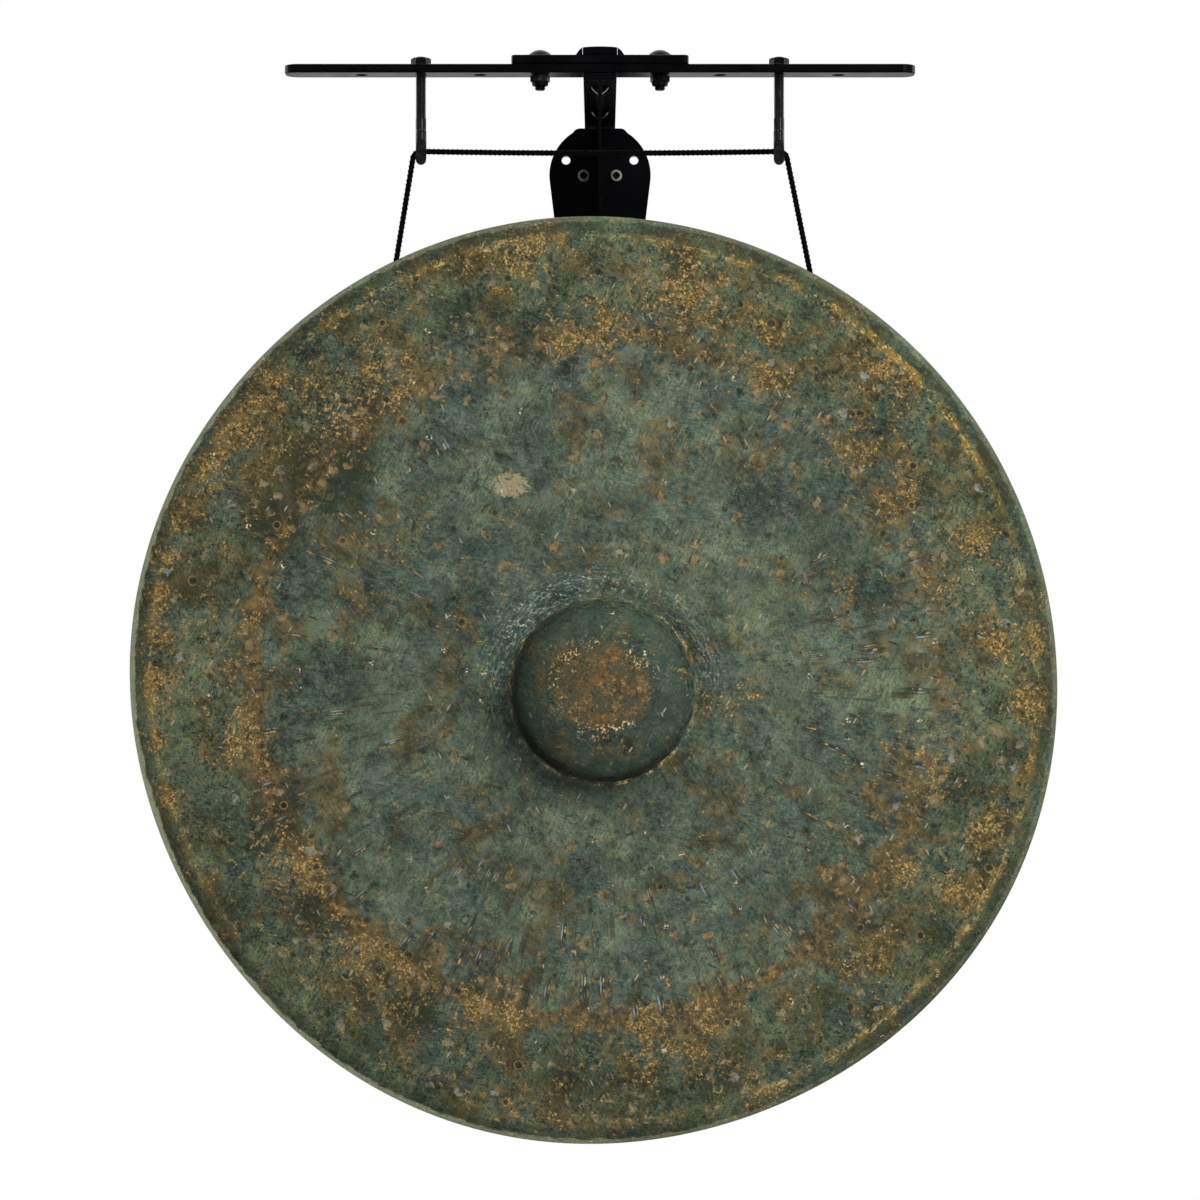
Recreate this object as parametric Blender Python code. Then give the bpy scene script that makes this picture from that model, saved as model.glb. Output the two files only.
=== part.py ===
"""Wall-mounted holder with a hanging bossed gong.

A flat crossbar is clamped between a top plate and the end of an arm, which stands
out from a wall plate. Two J-hooks hang through the crossbar. One rope lies over both
hooks, and its ends pass through the gong's rim and stop in knots behind it.

Metres, +Z up. The origin is on the wall plate's back face. +Y points into the wall,
and +X is to the right as the gong is seen from the front.
"""

import math

import bmesh
import bpy
from mathutils import Matrix, Vector

# Clearances between pieces
GAP = 0.0003
BOLT_CLEARANCE = 0.0003
HOLE_CLEARANCE = 0.0006

# Wall plate: a round top joined to a smaller round foot by its straight sides
WALL_PLATE_THICKNESS = 0.00635
WALL_PLATE_TOP_RADIUS = 0.040
WALL_PLATE_FOOT_RADIUS = 0.028
WALL_PLATE_SPACING = 0.100
WALL_HOLE_RADIUS = 0.0035
WALL_HOLE_OUT = 0.0268
WALL_HOLE_UP = 0.012

# Arm: a strap over a thin web, with a foot plate screwed to the wall plate
REACH = 0.250
STRAP_UNDERSIDE = 0.03707
STRAP_WIDTH = 0.024
STRAP_THICKNESS = 0.0052
STRAP_SHORT_OF_WALL = 0.0005
WEB_THICKNESS = 0.0025
WEB_NOSE_HEIGHT = 0.005
WEB_SETBACK = 0.0006
WEB_FOOT_DROP = 0.108
FOOT_PLATE_WIDTH = 0.044
FOOT_PLATE_THICKNESS = 0.0025
FOOT_PLATE_HEIGHT = 0.118
FOOT_PLATE_CORNER = 0.006
FOOT_SCREW_OUT = 0.01275
FOOT_SCREW_UPPER = -0.0008
FOOT_SCREW_LOWER = -0.062
SCREW_SHANK_RADIUS = 0.0024
SCREW_HEAD_RADIUS = 0.0047
SCREW_HEAD_HEIGHT = 0.0030
SCREW_SHORT_OF_BACK = 0.0005
SCREW_SLOT_LENGTH = 0.0046
SCREW_SLOT_WIDTH = 0.0011
SCREW_SLOT_DEPTH = 0.0017
PAN_FULLNESS = 0.65
TACK_LEG = 0.0048
TACK_LENGTH = 0.0064
TACK_FRONT_PLACE = 0.2248
TACK_REAR_PLACE = 0.0960
WELD_FULLNESS = 0.56

# Crossbar and the top plate above it
BAR_LENGTH = 0.4572
BAR_DEPTH = 0.0254
BAR_THICKNESS = 0.00635
BAR_CORNER = 0.0095
SPARE_HOLE_RADIUS = 0.0047
SPARE_HOLES_OUT = (0.0870, 0.1731)
TOP_PLATE_LENGTH = 0.1284
TOP_PLATE_THICKNESS = 0.00635
TOP_PLATE_CORNER = 0.0035
PLATE_EDGE_ROUNDING = 0.0009

# Centre post: its head stands on the top plate and is welded at both sides
POST_HEAD_WIDTH = 0.0250
POST_HEAD_DEPTH = 0.0220
POST_HEAD_HEIGHT = 0.0060
POST_HEAD_CROWN = 0.0006
POST_HEAD_BEVEL = 0.0008
POST_SHANK_RADIUS = 0.0070
POST_WELD_LEG = 0.0046
POST_WELD_HEIGHT = 0.0052

# Carriage bolts with lock nuts
BOLT_OUT = 0.0435
BOLT_RADIUS = 0.003725
BOLT_HEAD_RADIUS = 0.0093
BOLT_HEAD_HEIGHT = 0.0049
BOLT_NECK_SIDE = 0.0079
BOLT_NECK_LENGTH = 0.0045
BOLT_PAST_NUT = 0.0034
LOCK_NUT_FLATS = 0.0127
LOCK_NUT_HEX_HEIGHT = 0.0052
LOCK_NUT_HEIGHT = 0.0076
LOCK_NUT_COLLAR_TOP = 0.0061
LOCK_NUT_COLLAR_FOOT = 0.0056
LOCK_NUT_COLLAR_STEP = 0.0002
LOCK_NUT_TURN = math.radians(13.5)
LOCK_RING_WALL = 0.0009

# Every nut's corners are taken off by a cone
NUT_FACE_SHARE = 0.95
NUT_CHAMFER = math.radians(30)

# J-hooks: turned a little, so that the tips stand nearer the middle
HOOK_OUT = 0.130
HOOK_ROD_RADIUS = 0.00385
HOOK_BEND_RADIUS = 0.0135
HOOK_BEND_BELOW_BAR = 0.04977
HOOK_TIP_LENGTH = 0.0060
HOOK_PAST_NUT = 0.0008
HOOK_TURN = math.radians(3.0)
HOOK_NUT_FLATS = 0.0127
HOOK_NUT_HEIGHT = 0.0055
HOOK_NUT_TURN = math.radians(2.0)

# Rope
ROPE_RADIUS = 0.00165
ROPE_SAG = 0.0012
ROPE_OFF_ROD = 0.0004
ROPE_HOLE_RADIUS = 0.0035
ROPE_STEP = 0.008
HINGE_BELOW_ROD = 0.0017
KNOT_RADIUS = 0.0050
KNOT_LENGTH = 0.0090
KNOT_TAIL = 0.012

# Gong: all depths are measured behind the plane of its face
GONG_RADIUS = 0.3343
GONG_WALL = 0.003
GONG_ASIDE = -0.0041
GONG_TOP_BELOW_RODS = 0.0410
RIM_DEPTH = 0.090
RIM_DRAW_IN = 0.014
SHOULDER_WIDTH = 0.018
SHOULDER_DEPTH = 0.017
ANNULUS_FALL = 0.0025
BOUNDARY_RADIUS = 0.247
BOUNDARY_HALF_WIDTH = 0.010
BOUNDARY_DEPTH = 0.0010
FIELD_DISH = 0.0012
COLLAR_RADIUS = 0.0790
COLLAR_HALF_WIDTH = 0.0105
COLLAR_RISE = 0.0024
BOSS_RADIUS = 0.0650
BOSS_HEIGHT = 0.0420
BOSS_FULLNESS = 0.72
BOSS_ASIDE = 0.0063
BOSS_DOWN = 0.0080
GROOVE_HALF_WIDTH = 0.0015
GROOVE_DEPTH = 0.0010
HOLE_ANGLE_LEFT = math.radians(25.3)
HOLE_ANGLE_RIGHT = math.radians(27.9)

# How far the hammered outline is out of round: (waves, height, angle of the first crest),
# with angles counted from +X towards +Z
OUTLINE_WAVES = (
    (2, 0.0015, math.radians(-45)),
    (4, 0.0009, math.radians(-17)),
    (5, 0.0006, math.radians(36)),
)

# How finely round forms are drawn
GONG_SIDES = 72
ROUND_SIDES = 24
HOLE_SIDES = 16
PAN_STEPS = 5
HOOK_SIDE_STEPS = 5
ROPE_SIDE_STEPS = 2
CORNER_STEPS = 6
SMOOTH_ANGLE = math.radians(32)
SHARP_CORNER = math.radians(50)

# Places that follow from the sizes above
PLATE_FRONT = -WALL_PLATE_THICKNESS
FOOT_PLATE_BACK = PLATE_FRONT - GAP
FOOT_PLATE_FRONT = FOOT_PLATE_BACK - FOOT_PLATE_THICKNESS
BAR_Y = -REACH
BAR_FRONT = BAR_Y - BAR_DEPTH / 2
UNDER_STRAP = STRAP_UNDERSIDE - GAP
BAR_UNDERSIDE = STRAP_UNDERSIDE + STRAP_THICKNESS + GAP
BAR_TOP = BAR_UNDERSIDE + BAR_THICKNESS
TOP_PLATE_UNDERSIDE = BAR_TOP + GAP
TOP_PLATE_TOP = TOP_PLATE_UNDERSIDE + TOP_PLATE_THICKNESS
HOOK_BEND_Z = BAR_UNDERSIDE - HOOK_BEND_BELOW_BAR
ROD_Z = HOOK_BEND_Z - HOOK_BEND_RADIUS
ROPE_X = HOOK_OUT - HOOK_BEND_RADIUS * math.sin(HOOK_TURN)
ROPE_Y = BAR_Y - HOOK_BEND_RADIUS * math.cos(HOOK_TURN)
ROPE_WRAP = HOOK_ROD_RADIUS + ROPE_RADIUS + ROPE_OFF_ROD
HINGE_Z = ROD_Z - HINGE_BELOW_ROD
GONG_Z = ROD_Z - GONG_TOP_BELOW_RODS - GONG_RADIUS

FACING_FRONT = (math.pi / 2, 0, 0)
FACING_BACK = (-math.pi / 2, 0, 0)
FACING_RIGHT = (math.pi / 2, 0, math.pi / 2)
SIDES = (("left", -1), ("right", 1))


def clear_scene():
    for piece in list(bpy.data.objects):
        bpy.data.objects.remove(piece, do_unlink=True)


def make_finish(name, colour, roughness, metallic):
    finish = bpy.data.materials.new(name)
    finish.use_nodes = True
    shader = finish.node_tree.nodes["Principled BSDF"]
    shader.inputs["Base Color"].default_value = (*colour, 1)
    shader.inputs["Roughness"].default_value = roughness
    shader.inputs["Metallic"].default_value = metallic
    finish.diffuse_color = (*colour, 1)
    return finish


def make_finishes():
    return {
        "powder_coat": make_finish("powder_coat", (0.012, 0.012, 0.014), 0.40, 0.0),
        "black_steel": make_finish("black_steel", (0.020, 0.020, 0.021), 0.50, 0.6),
        "zinc": make_finish("zinc", (0.52, 0.53, 0.52), 0.32, 1.0),
        "nylon": make_finish("nylon", (0.55, 0.55, 0.52), 0.45, 0.0),
        "rope": make_finish("rope", (0.013, 0.013, 0.014), 0.85, 0.0),
        "bronze": make_finish("bronze", (0.080, 0.105, 0.075), 0.55, 0.4),
    }


def add_piece(name, data, finish, place=(0, 0, 0), turn=(0, 0, 0)):
    """Puts a mesh or curve in the scene as one named piece."""
    piece = bpy.data.objects.new(name, data)
    bpy.context.scene.collection.objects.link(piece)
    if finish:
        piece.data.materials.append(finish)
    piece.location = place
    piece.rotation_euler = turn
    return piece


def hang_from(piece, pivot):
    """Parents a piece to an empty on the joint's axis, and leaves it where it is."""
    piece.location = Vector(piece.location) - pivot.location
    piece.parent = pivot


def to_mesh(name, shape):
    bmesh.ops.recalc_face_normals(shape, faces=shape.faces)
    mesh = bpy.data.meshes.new(name)
    shape.to_mesh(mesh)
    shape.free()
    mesh.shade_smooth()
    mesh.set_sharp_from_angle(angle=SMOOTH_ANGLE)
    return mesh


def drawn_mesh(name, outline, thickness):
    """Draws an outline in XY up along Z into a solid."""
    shape = bmesh.new()
    corners = [shape.verts.new((x, y, 0)) for x, y in outline]
    face = shape.faces.new(corners)
    drawn = bmesh.ops.extrude_face_region(shape, geom=[face])
    raised = [item for item in drawn["geom"] if isinstance(item, bmesh.types.BMVert)]
    bmesh.ops.translate(shape, verts=raised, vec=(0, 0, thickness))
    return to_mesh(name, shape)


def turned_mesh(name, profile, sides, closed=False):
    """Spins a profile of (radius, height) points round Z. A closed profile makes a ring."""
    shape = bmesh.new()
    points = [shape.verts.new((radius, 0, height)) for radius, height in profile]
    pairs = list(zip(points, points[1:]))
    if closed:
        pairs.append((points[-1], points[0]))
    lines = [shape.edges.new(pair) for pair in pairs]
    bmesh.ops.spin(
        shape,
        geom=points + lines,
        cent=(0, 0, 0),
        axis=(0, 0, 1),
        angle=2 * math.pi,
        steps=sides,
        use_merge=True,
    )
    bmesh.ops.remove_doubles(shape, verts=shape.verts, dist=1e-7)
    return to_mesh(name, shape)


def arc(centre, radius, start, end, steps):
    """Points along an arc, with both ends, at angles from +X towards +Y."""
    angles = [start + (end - start) * step / steps for step in range(steps + 1)]
    return [
        (centre[0] + radius * math.cos(angle), centre[1] + radius * math.sin(angle))
        for angle in angles
    ]


def rounded_rectangle(width, height, corner):
    """An outline round the origin, starting at the upper right corner."""
    outline = []
    for quarter, (across, up) in enumerate(((1, 1), (-1, 1), (-1, -1), (1, -1))):
        centre = (across * (width / 2 - corner), up * (height / 2 - corner))
        start = quarter * math.pi / 2
        outline += arc(centre, corner, start, start + math.pi / 2, CORNER_STEPS)
    return outline


def round_edges(piece, width):
    """Rounds a plate's long edges, and leaves the lines down its rounded corners alone."""
    bevel = piece.modifiers.new("rounded_edges", "BEVEL")
    bevel.width = width
    bevel.segments = 2
    bevel.limit_method = "ANGLE"
    bevel.angle_limit = SHARP_CORNER


def join_or_cut(piece, other, operation):
    """Joins to a piece, or cuts from it, the helper that stands beside it."""
    other.hide_render = True
    other.display_type = "WIRE"
    step = piece.modifiers.new(other.name, "BOOLEAN")
    step.operation = operation
    step.solver = "EXACT"
    step.object = other


def cut_holes(piece, holes, thickness):
    """Cuts holes along the piece's own Z. Each is (x, y, radius, sides)."""
    shape = bmesh.new()
    for x, y, radius, sides in holes:
        made = bmesh.ops.create_cone(
            shape,
            cap_ends=True,
            segments=sides,
            radius1=radius,
            radius2=radius,
            depth=3 * thickness,
        )
        bmesh.ops.rotate(
            shape,
            verts=made["verts"],
            cent=(0, 0, 0),
            matrix=Matrix.Rotation(math.pi / sides, 3, "Z"),
        )
        bmesh.ops.translate(shape, verts=made["verts"], vec=(x, y, thickness / 2))
    name = piece.name + "_holes"
    cutter = add_piece(
        name, to_mesh(name, shape), None, piece.location, piece.rotation_euler
    )
    join_or_cut(piece, cutter, "DIFFERENCE")


def tube(name, points, radius, finish, side_steps, scales=None):
    """A round rod or rope along points. scales narrows it at each point."""
    line = bpy.data.curves.new(name, "CURVE")
    line.dimensions = "3D"
    line.bevel_depth = radius
    line.bevel_resolution = side_steps
    line.use_fill_caps = True
    spline = line.splines.new("POLY")
    spline.points.add(len(points) - 1)
    for index, point in enumerate(points):
        spline.points[index].co = (*point, 1)
        if scales:
            spline.points[index].radius = scales[index]
    return add_piece(name, line, finish)


def wall_plate_outline():
    """The plate's outline in X and Z, cut flat where the strap lies over it."""
    lean = math.asin(
        (WALL_PLATE_TOP_RADIUS - WALL_PLATE_FOOT_RADIUS) / WALL_PLATE_SPACING
    )
    flat = math.asin(UNDER_STRAP / WALL_PLATE_TOP_RADIUS)
    right = arc((0, 0), WALL_PLATE_TOP_RADIUS, -lean, flat, 4 * CORNER_STEPS)
    left = arc(
        (0, 0),
        WALL_PLATE_TOP_RADIUS,
        math.pi - flat,
        math.pi + lean,
        4 * CORNER_STEPS,
    )
    foot = arc(
        (0, -WALL_PLATE_SPACING),
        WALL_PLATE_FOOT_RADIUS,
        math.pi + lean,
        2 * math.pi - lean,
        4 * CORNER_STEPS,
    )
    return right + left + foot


def foot_screw_places():
    return [
        (f"{row}_{side}", way * FOOT_SCREW_OUT, height)
        for row, height in (("upper", FOOT_SCREW_UPPER), ("lower", FOOT_SCREW_LOWER))
        for side, way in SIDES
    ]


def make_wall_plate(finish):
    mesh = drawn_mesh("wall_plate", wall_plate_outline(), WALL_PLATE_THICKNESS)
    plate = add_piece("wall_plate", mesh, finish, turn=FACING_FRONT)
    holes = [
        (way * WALL_HOLE_OUT, WALL_HOLE_UP, WALL_HOLE_RADIUS, HOLE_SIDES)
        for _, way in SIDES
    ]
    holes.append((0, -WALL_PLATE_SPACING, WALL_HOLE_RADIUS, HOLE_SIDES))
    for _, x, z in foot_screw_places():
        holes.append((x, z, SCREW_SHANK_RADIUS + BOLT_CLEARANCE, HOLE_SIDES))
    cut_holes(plate, holes, WALL_PLATE_THICKNESS)


def make_foot_plate(finish):
    middle = UNDER_STRAP - FOOT_PLATE_HEIGHT / 2
    outline = rounded_rectangle(FOOT_PLATE_WIDTH, FOOT_PLATE_HEIGHT, FOOT_PLATE_CORNER)
    mesh = drawn_mesh("foot_plate", outline, FOOT_PLATE_THICKNESS)
    place = (0, FOOT_PLATE_BACK, middle)
    plate = add_piece("foot_plate", mesh, finish, place, FACING_FRONT)
    holes = [
        (x, z - middle, SCREW_SHANK_RADIUS + BOLT_CLEARANCE, HOLE_SIDES)
        for _, x, z in foot_screw_places()
    ]
    cut_holes(plate, holes, FOOT_PLATE_THICKNESS)


def cross_outline(length, width):
    """The outline of a cross recess."""
    far = length / 2
    near = width / 2
    corner = [(far, -near), (far, near), (near, near)]
    outline = []
    for quarter in range(4):
        turn = Matrix.Rotation(quarter * math.pi / 2, 2)
        outline += [tuple(turn @ Vector(point)) for point in corner]
    return outline


def make_foot_screws(finish):
    length = (
        GAP + FOOT_PLATE_THICKNESS + GAP + WALL_PLATE_THICKNESS - SCREW_SHORT_OF_BACK
    )
    angles = [step * math.pi / 2 / PAN_STEPS for step in range(PAN_STEPS)]
    crown = [
        (
            SCREW_HEAD_RADIUS * math.cos(angle) ** PAN_FULLNESS,
            SCREW_HEAD_HEIGHT * math.sin(angle) ** PAN_FULLNESS,
        )
        for angle in angles
    ]
    profile = [(0, SCREW_HEAD_HEIGHT)] + crown[::-1]
    profile += [(SCREW_SHANK_RADIUS, 0), (SCREW_SHANK_RADIUS, -length), (0, -length)]
    front = FOOT_PLATE_FRONT - GAP
    for row_and_side, x, z in foot_screw_places():
        name = "foot_screw_" + row_and_side
        place = (x, front, z)
        mesh = turned_mesh(name, profile, HOLE_SIDES)
        screw = add_piece(name, mesh, finish, place, FACING_FRONT)
        slot_mesh = drawn_mesh(
            name + "_recess",
            cross_outline(SCREW_SLOT_LENGTH, SCREW_SLOT_WIDTH),
            2 * SCREW_SLOT_DEPTH,
        )
        slot_place = (x, front - SCREW_HEAD_HEIGHT + SCREW_SLOT_DEPTH, z)
        slot = add_piece(name + "_recess", slot_mesh, None, slot_place, FACING_FRONT)
        join_or_cut(screw, slot, "DIFFERENCE")


def make_arm(finish):
    front = BAR_FRONT + WEB_SETBACK
    length = -STRAP_SHORT_OF_WALL - front
    outline = rounded_rectangle(STRAP_WIDTH, length, PLATE_EDGE_ROUNDING)
    place = (0, front + length / 2, STRAP_UNDERSIDE)
    mesh = drawn_mesh("arm_strap", outline, STRAP_THICKNESS)
    strap = add_piece("arm_strap", mesh, finish, place)
    post_hole = POST_SHANK_RADIUS + BOLT_CLEARANCE
    cut_holes(
        strap, [(0, BAR_Y - place[1], post_hole, ROUND_SIDES)], STRAP_THICKNESS
    )
    back = FOOT_PLATE_FRONT - GAP
    web = [
        (back, UNDER_STRAP),
        (front, UNDER_STRAP),
        (front, UNDER_STRAP - WEB_NOSE_HEIGHT),
        (back, UNDER_STRAP - WEB_FOOT_DROP),
    ]
    web_mesh = drawn_mesh("arm_web", web, WEB_THICKNESS)
    add_piece("arm_web", web_mesh, finish, (-WEB_THICKNESS / 2, 0, 0), FACING_RIGHT)


def fillet_outline(width, height):
    """A weld's section: square to both plates, with a slightly full face."""
    middle = (WELD_FULLNESS * width, WELD_FULLNESS * height)
    return [(0, 0), (width, 0), middle, (0, height)]


def make_tack_welds(finish):
    for end, out in (("front", TACK_FRONT_PLACE), ("rear", TACK_REAR_PLACE)):
        for side, way in SIDES:
            name = f"arm_tack_weld_{end}_{side}"
            outline = [(way * x, -y) for x, y in fillet_outline(TACK_LEG, TACK_LEG)]
            mesh = drawn_mesh(name, outline, TACK_LENGTH)
            x = way * (WEB_THICKNESS / 2 + GAP)
            add_piece(name, mesh, finish, (x, -out, UNDER_STRAP), FACING_FRONT)


def make_top_plate(finish):
    outline = rounded_rectangle(TOP_PLATE_LENGTH, BAR_DEPTH, TOP_PLATE_CORNER)
    mesh = drawn_mesh("top_plate", outline, TOP_PLATE_THICKNESS)
    place = (0, BAR_Y, TOP_PLATE_UNDERSIDE)
    plate = add_piece("top_plate", mesh, finish, place)
    round_edges(plate, PLATE_EDGE_ROUNDING)
    neck = (BOLT_NECK_SIDE / 2 + BOLT_CLEARANCE) * math.sqrt(2)
    holes = [(way * BOLT_OUT, 0, neck, 4) for _, way in SIDES]
    holes.append((0, 0, POST_SHANK_RADIUS + BOLT_CLEARANCE, ROUND_SIDES))
    cut_holes(plate, holes, TOP_PLATE_THICKNESS)


def make_crossbar(finish):
    outline = rounded_rectangle(BAR_LENGTH, BAR_DEPTH, BAR_CORNER)
    mesh = drawn_mesh("crossbar", outline, BAR_THICKNESS)
    bar = add_piece("crossbar", mesh, finish, (0, BAR_Y, BAR_UNDERSIDE))
    round_edges(bar, PLATE_EDGE_ROUNDING)
    holes = [(0, 0, POST_SHANK_RADIUS + BOLT_CLEARANCE, ROUND_SIDES)]
    for _, way in SIDES:
        holes.append((way * BOLT_OUT, 0, BOLT_RADIUS + HOLE_CLEARANCE, HOLE_SIDES))
        holes.append((way * HOOK_OUT, 0, HOOK_ROD_RADIUS + HOLE_CLEARANCE, HOLE_SIDES))
        for out in SPARE_HOLES_OUT:
            holes.append((way * out, 0, SPARE_HOLE_RADIUS, HOLE_SIDES))
    cut_holes(bar, holes, BAR_THICKNESS)


def make_centre_post(finish):
    """The head's outline lies in X and Z. Its top is a shallow arch."""
    half = POST_HEAD_WIDTH / 2
    side_height = POST_HEAD_HEIGHT - POST_HEAD_CROWN
    arch = [
        (x * half, side_height + POST_HEAD_CROWN * (1 - x * x))
        for x in (1, 0.6, 0.2, -0.2, -0.6, -1)
    ]
    outline = [(half, 0)] + arch + [(-half, 0)]
    head_mesh = drawn_mesh("centre_post", outline, POST_HEAD_DEPTH)
    place = (0, BAR_Y + POST_HEAD_DEPTH / 2, TOP_PLATE_TOP + GAP)
    post = add_piece("centre_post", head_mesh, finish, place, FACING_FRONT)
    round_edges(post, POST_HEAD_BEVEL)
    overlap = POST_HEAD_HEIGHT / 2
    length = place[2] - STRAP_UNDERSIDE
    shank_profile = [
        (0, overlap),
        (POST_SHANK_RADIUS, overlap),
        (POST_SHANK_RADIUS, -length),
        (0, -length),
    ]
    shank_mesh = turned_mesh("centre_post_shank", shank_profile, ROUND_SIDES)
    shank = add_piece("centre_post_shank", shank_mesh, None, (0, BAR_Y, place[2]))
    join_or_cut(post, shank, "UNION")


def make_post_welds(finish):
    for side, way in SIDES:
        name = "post_weld_" + side
        section = fillet_outline(POST_WELD_LEG, POST_WELD_HEIGHT)
        outline = [(way * x, y) for x, y in section]
        mesh = drawn_mesh(name, outline, POST_HEAD_DEPTH)
        place = (
            way * (POST_HEAD_WIDTH / 2 + GAP),
            BAR_Y + POST_HEAD_DEPTH / 2,
            TOP_PLATE_TOP + GAP,
        )
        add_piece(name, mesh, finish, place, FACING_FRONT)


def make_carriage_bolts(finish):
    """Domed head over a square neck, which sits in the top plate's square hole."""
    ball = (BOLT_HEAD_RADIUS**2 + BOLT_HEAD_HEIGHT**2) / (2 * BOLT_HEAD_HEIGHT)
    spread = math.asin(BOLT_HEAD_RADIUS / ball)
    steps = 7
    dome = [
        (
            ball * math.sin(spread * step / steps),
            ball * math.cos(spread * step / steps) - ball + BOLT_HEAD_HEIGHT,
        )
        for step in range(steps + 1)
    ]
    base = TOP_PLATE_TOP + GAP
    length = base - (BAR_UNDERSIDE - GAP - LOCK_NUT_HEIGHT - BOLT_PAST_NUT)
    chamfer = BOLT_RADIUS / 4
    profile = dome + [
        (BOLT_RADIUS, 0),
        (BOLT_RADIUS, -length + chamfer),
        (BOLT_RADIUS - chamfer, -length),
        (0, -length),
    ]
    half = BOLT_NECK_SIDE / 2
    neck_outline = [(-half, -half), (half, -half), (half, half), (-half, half)]
    overlap = BOLT_HEAD_HEIGHT / 4
    for side, way in SIDES:
        name = "carriage_bolt_" + side
        mesh = turned_mesh(name, profile, ROUND_SIDES)
        bolt = add_piece(name, mesh, finish, (way * BOLT_OUT, BAR_Y, base))
        neck_mesh = drawn_mesh(name + "_neck", neck_outline, BOLT_NECK_LENGTH + overlap)
        neck_place = (way * BOLT_OUT, BAR_Y, base - BOLT_NECK_LENGTH)
        neck = add_piece(name + "_neck", neck_mesh, None, neck_place)
        join_or_cut(bolt, neck, "UNION")


def hexagon(flats):
    corner = flats / math.sqrt(3)
    return arc((0, 0), corner, 0, 5 * math.pi / 3, 5)


def make_nut(name, flats, hex_foot, top, lower_profile, place, turn, finish):
    """A turned body with its bore, cut to a hexagon where it is wider than the flats.

    lower_profile goes from the bore at the top down to the foot of the hexagon.
    """
    face = NUT_FACE_SHARE * flats / 2
    outside = flats / math.sqrt(3) + GAP
    slope = (outside - face) * math.tan(NUT_CHAMFER)
    upper = [
        (face, hex_foot),
        (outside, hex_foot + slope),
        (outside, top - slope),
        (face, top),
    ]
    mesh = turned_mesh(name, lower_profile + upper, ROUND_SIDES, closed=True)
    nut = add_piece(name, mesh, finish, place)
    height = 3 * top
    prism_mesh = drawn_mesh(name + "_hexagon", hexagon(flats), height)
    prism_place = Vector(place) - Vector((0, 0, top))
    prism = add_piece(
        name + "_hexagon", prism_mesh, None, prism_place, (0, 0, turn)
    )
    join_or_cut(nut, prism, "INTERSECT")


def make_lock_nuts(finish, ring_finish):
    """Hexagon above, round collar below, with a nylon ring set in the collar."""
    bore = BOLT_RADIUS + BOLT_CLEARANCE
    ring_outer = bore + LOCK_RING_WALL
    seat = ring_outer + BOLT_CLEARANCE
    hex_foot = LOCK_NUT_HEIGHT - LOCK_NUT_HEX_HEIGHT
    seat_depth = hex_foot - GAP
    lower_profile = [
        (bore, LOCK_NUT_HEIGHT),
        (bore, seat_depth),
        (seat, seat_depth),
        (seat, 0),
        (LOCK_NUT_COLLAR_FOOT, 0),
        (LOCK_NUT_COLLAR_TOP, hex_foot - LOCK_NUT_COLLAR_STEP),
    ]
    ring_profile = [
        (bore, seat_depth - GAP),
        (ring_outer, seat_depth - GAP),
        (ring_outer, GAP),
        (bore, GAP),
    ]
    for side, way in SIDES:
        place = (way * BOLT_OUT, BAR_Y, BAR_UNDERSIDE - GAP - LOCK_NUT_HEIGHT)
        make_nut(
            "lock_nut_" + side,
            LOCK_NUT_FLATS,
            hex_foot,
            LOCK_NUT_HEIGHT,
            lower_profile,
            place,
            -way * LOCK_NUT_TURN,
            finish,
        )
        ring_mesh = turned_mesh("lock_ring_" + side, ring_profile, ROUND_SIDES, True)
        add_piece("lock_ring_" + side, ring_mesh, ring_finish, place)


def make_hooks(finish):
    """Each rod stands in the bar, bends forward and up again, and ends in a short tip."""
    top = BAR_TOP + GAP + HOOK_NUT_HEIGHT + HOOK_PAST_NUT
    bend_steps = 14
    for side, way in SIDES:
        path = [(0, 0, top), (0, 0, (top + HOOK_BEND_Z) / 2)]
        for step in range(bend_steps + 1):
            angle = math.pi * step / bend_steps
            forward = HOOK_BEND_RADIUS * (1 - math.cos(angle))
            drop = HOOK_BEND_RADIUS * math.sin(angle)
            path.append((0, -forward, HOOK_BEND_Z - drop))
        path.append((0, -2 * HOOK_BEND_RADIUS, HOOK_BEND_Z + HOOK_TIP_LENGTH))
        hook = tube("j_hook_" + side, path, HOOK_ROD_RADIUS, finish, HOOK_SIDE_STEPS)
        hook.location = (way * HOOK_OUT, BAR_Y, 0)
        hook.rotation_euler = (0, 0, -way * HOOK_TURN)


def make_hook_nuts(finish):
    bore = HOOK_ROD_RADIUS + BOLT_CLEARANCE
    lower_profile = [(bore, HOOK_NUT_HEIGHT), (bore, 0)]
    for side, way in SIDES:
        make_nut(
            "hook_nut_" + side,
            HOOK_NUT_FLATS,
            0,
            HOOK_NUT_HEIGHT,
            lower_profile,
            (way * HOOK_OUT, BAR_Y, BAR_TOP + GAP),
            -way * HOOK_NUT_TURN,
            finish,
        )


def boss_profile():
    """From the boss's top out to its foot, as (radius, depth behind the face)."""
    steps = 7
    points = []
    for step in range(steps + 1):
        angle = math.pi / 2 * step / steps
        radius = BOSS_RADIUS * math.sin(angle) ** BOSS_FULLNESS
        depth = -BOSS_HEIGHT * max(math.cos(angle), 0) ** BOSS_FULLNESS
        points.append((radius, depth))
    return points


def collar_depth(radius):
    away = (radius - COLLAR_RADIUS) / COLLAR_HALF_WIDTH
    return -COLLAR_RISE * (1 + math.cos(math.pi * away)) / 2


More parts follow.
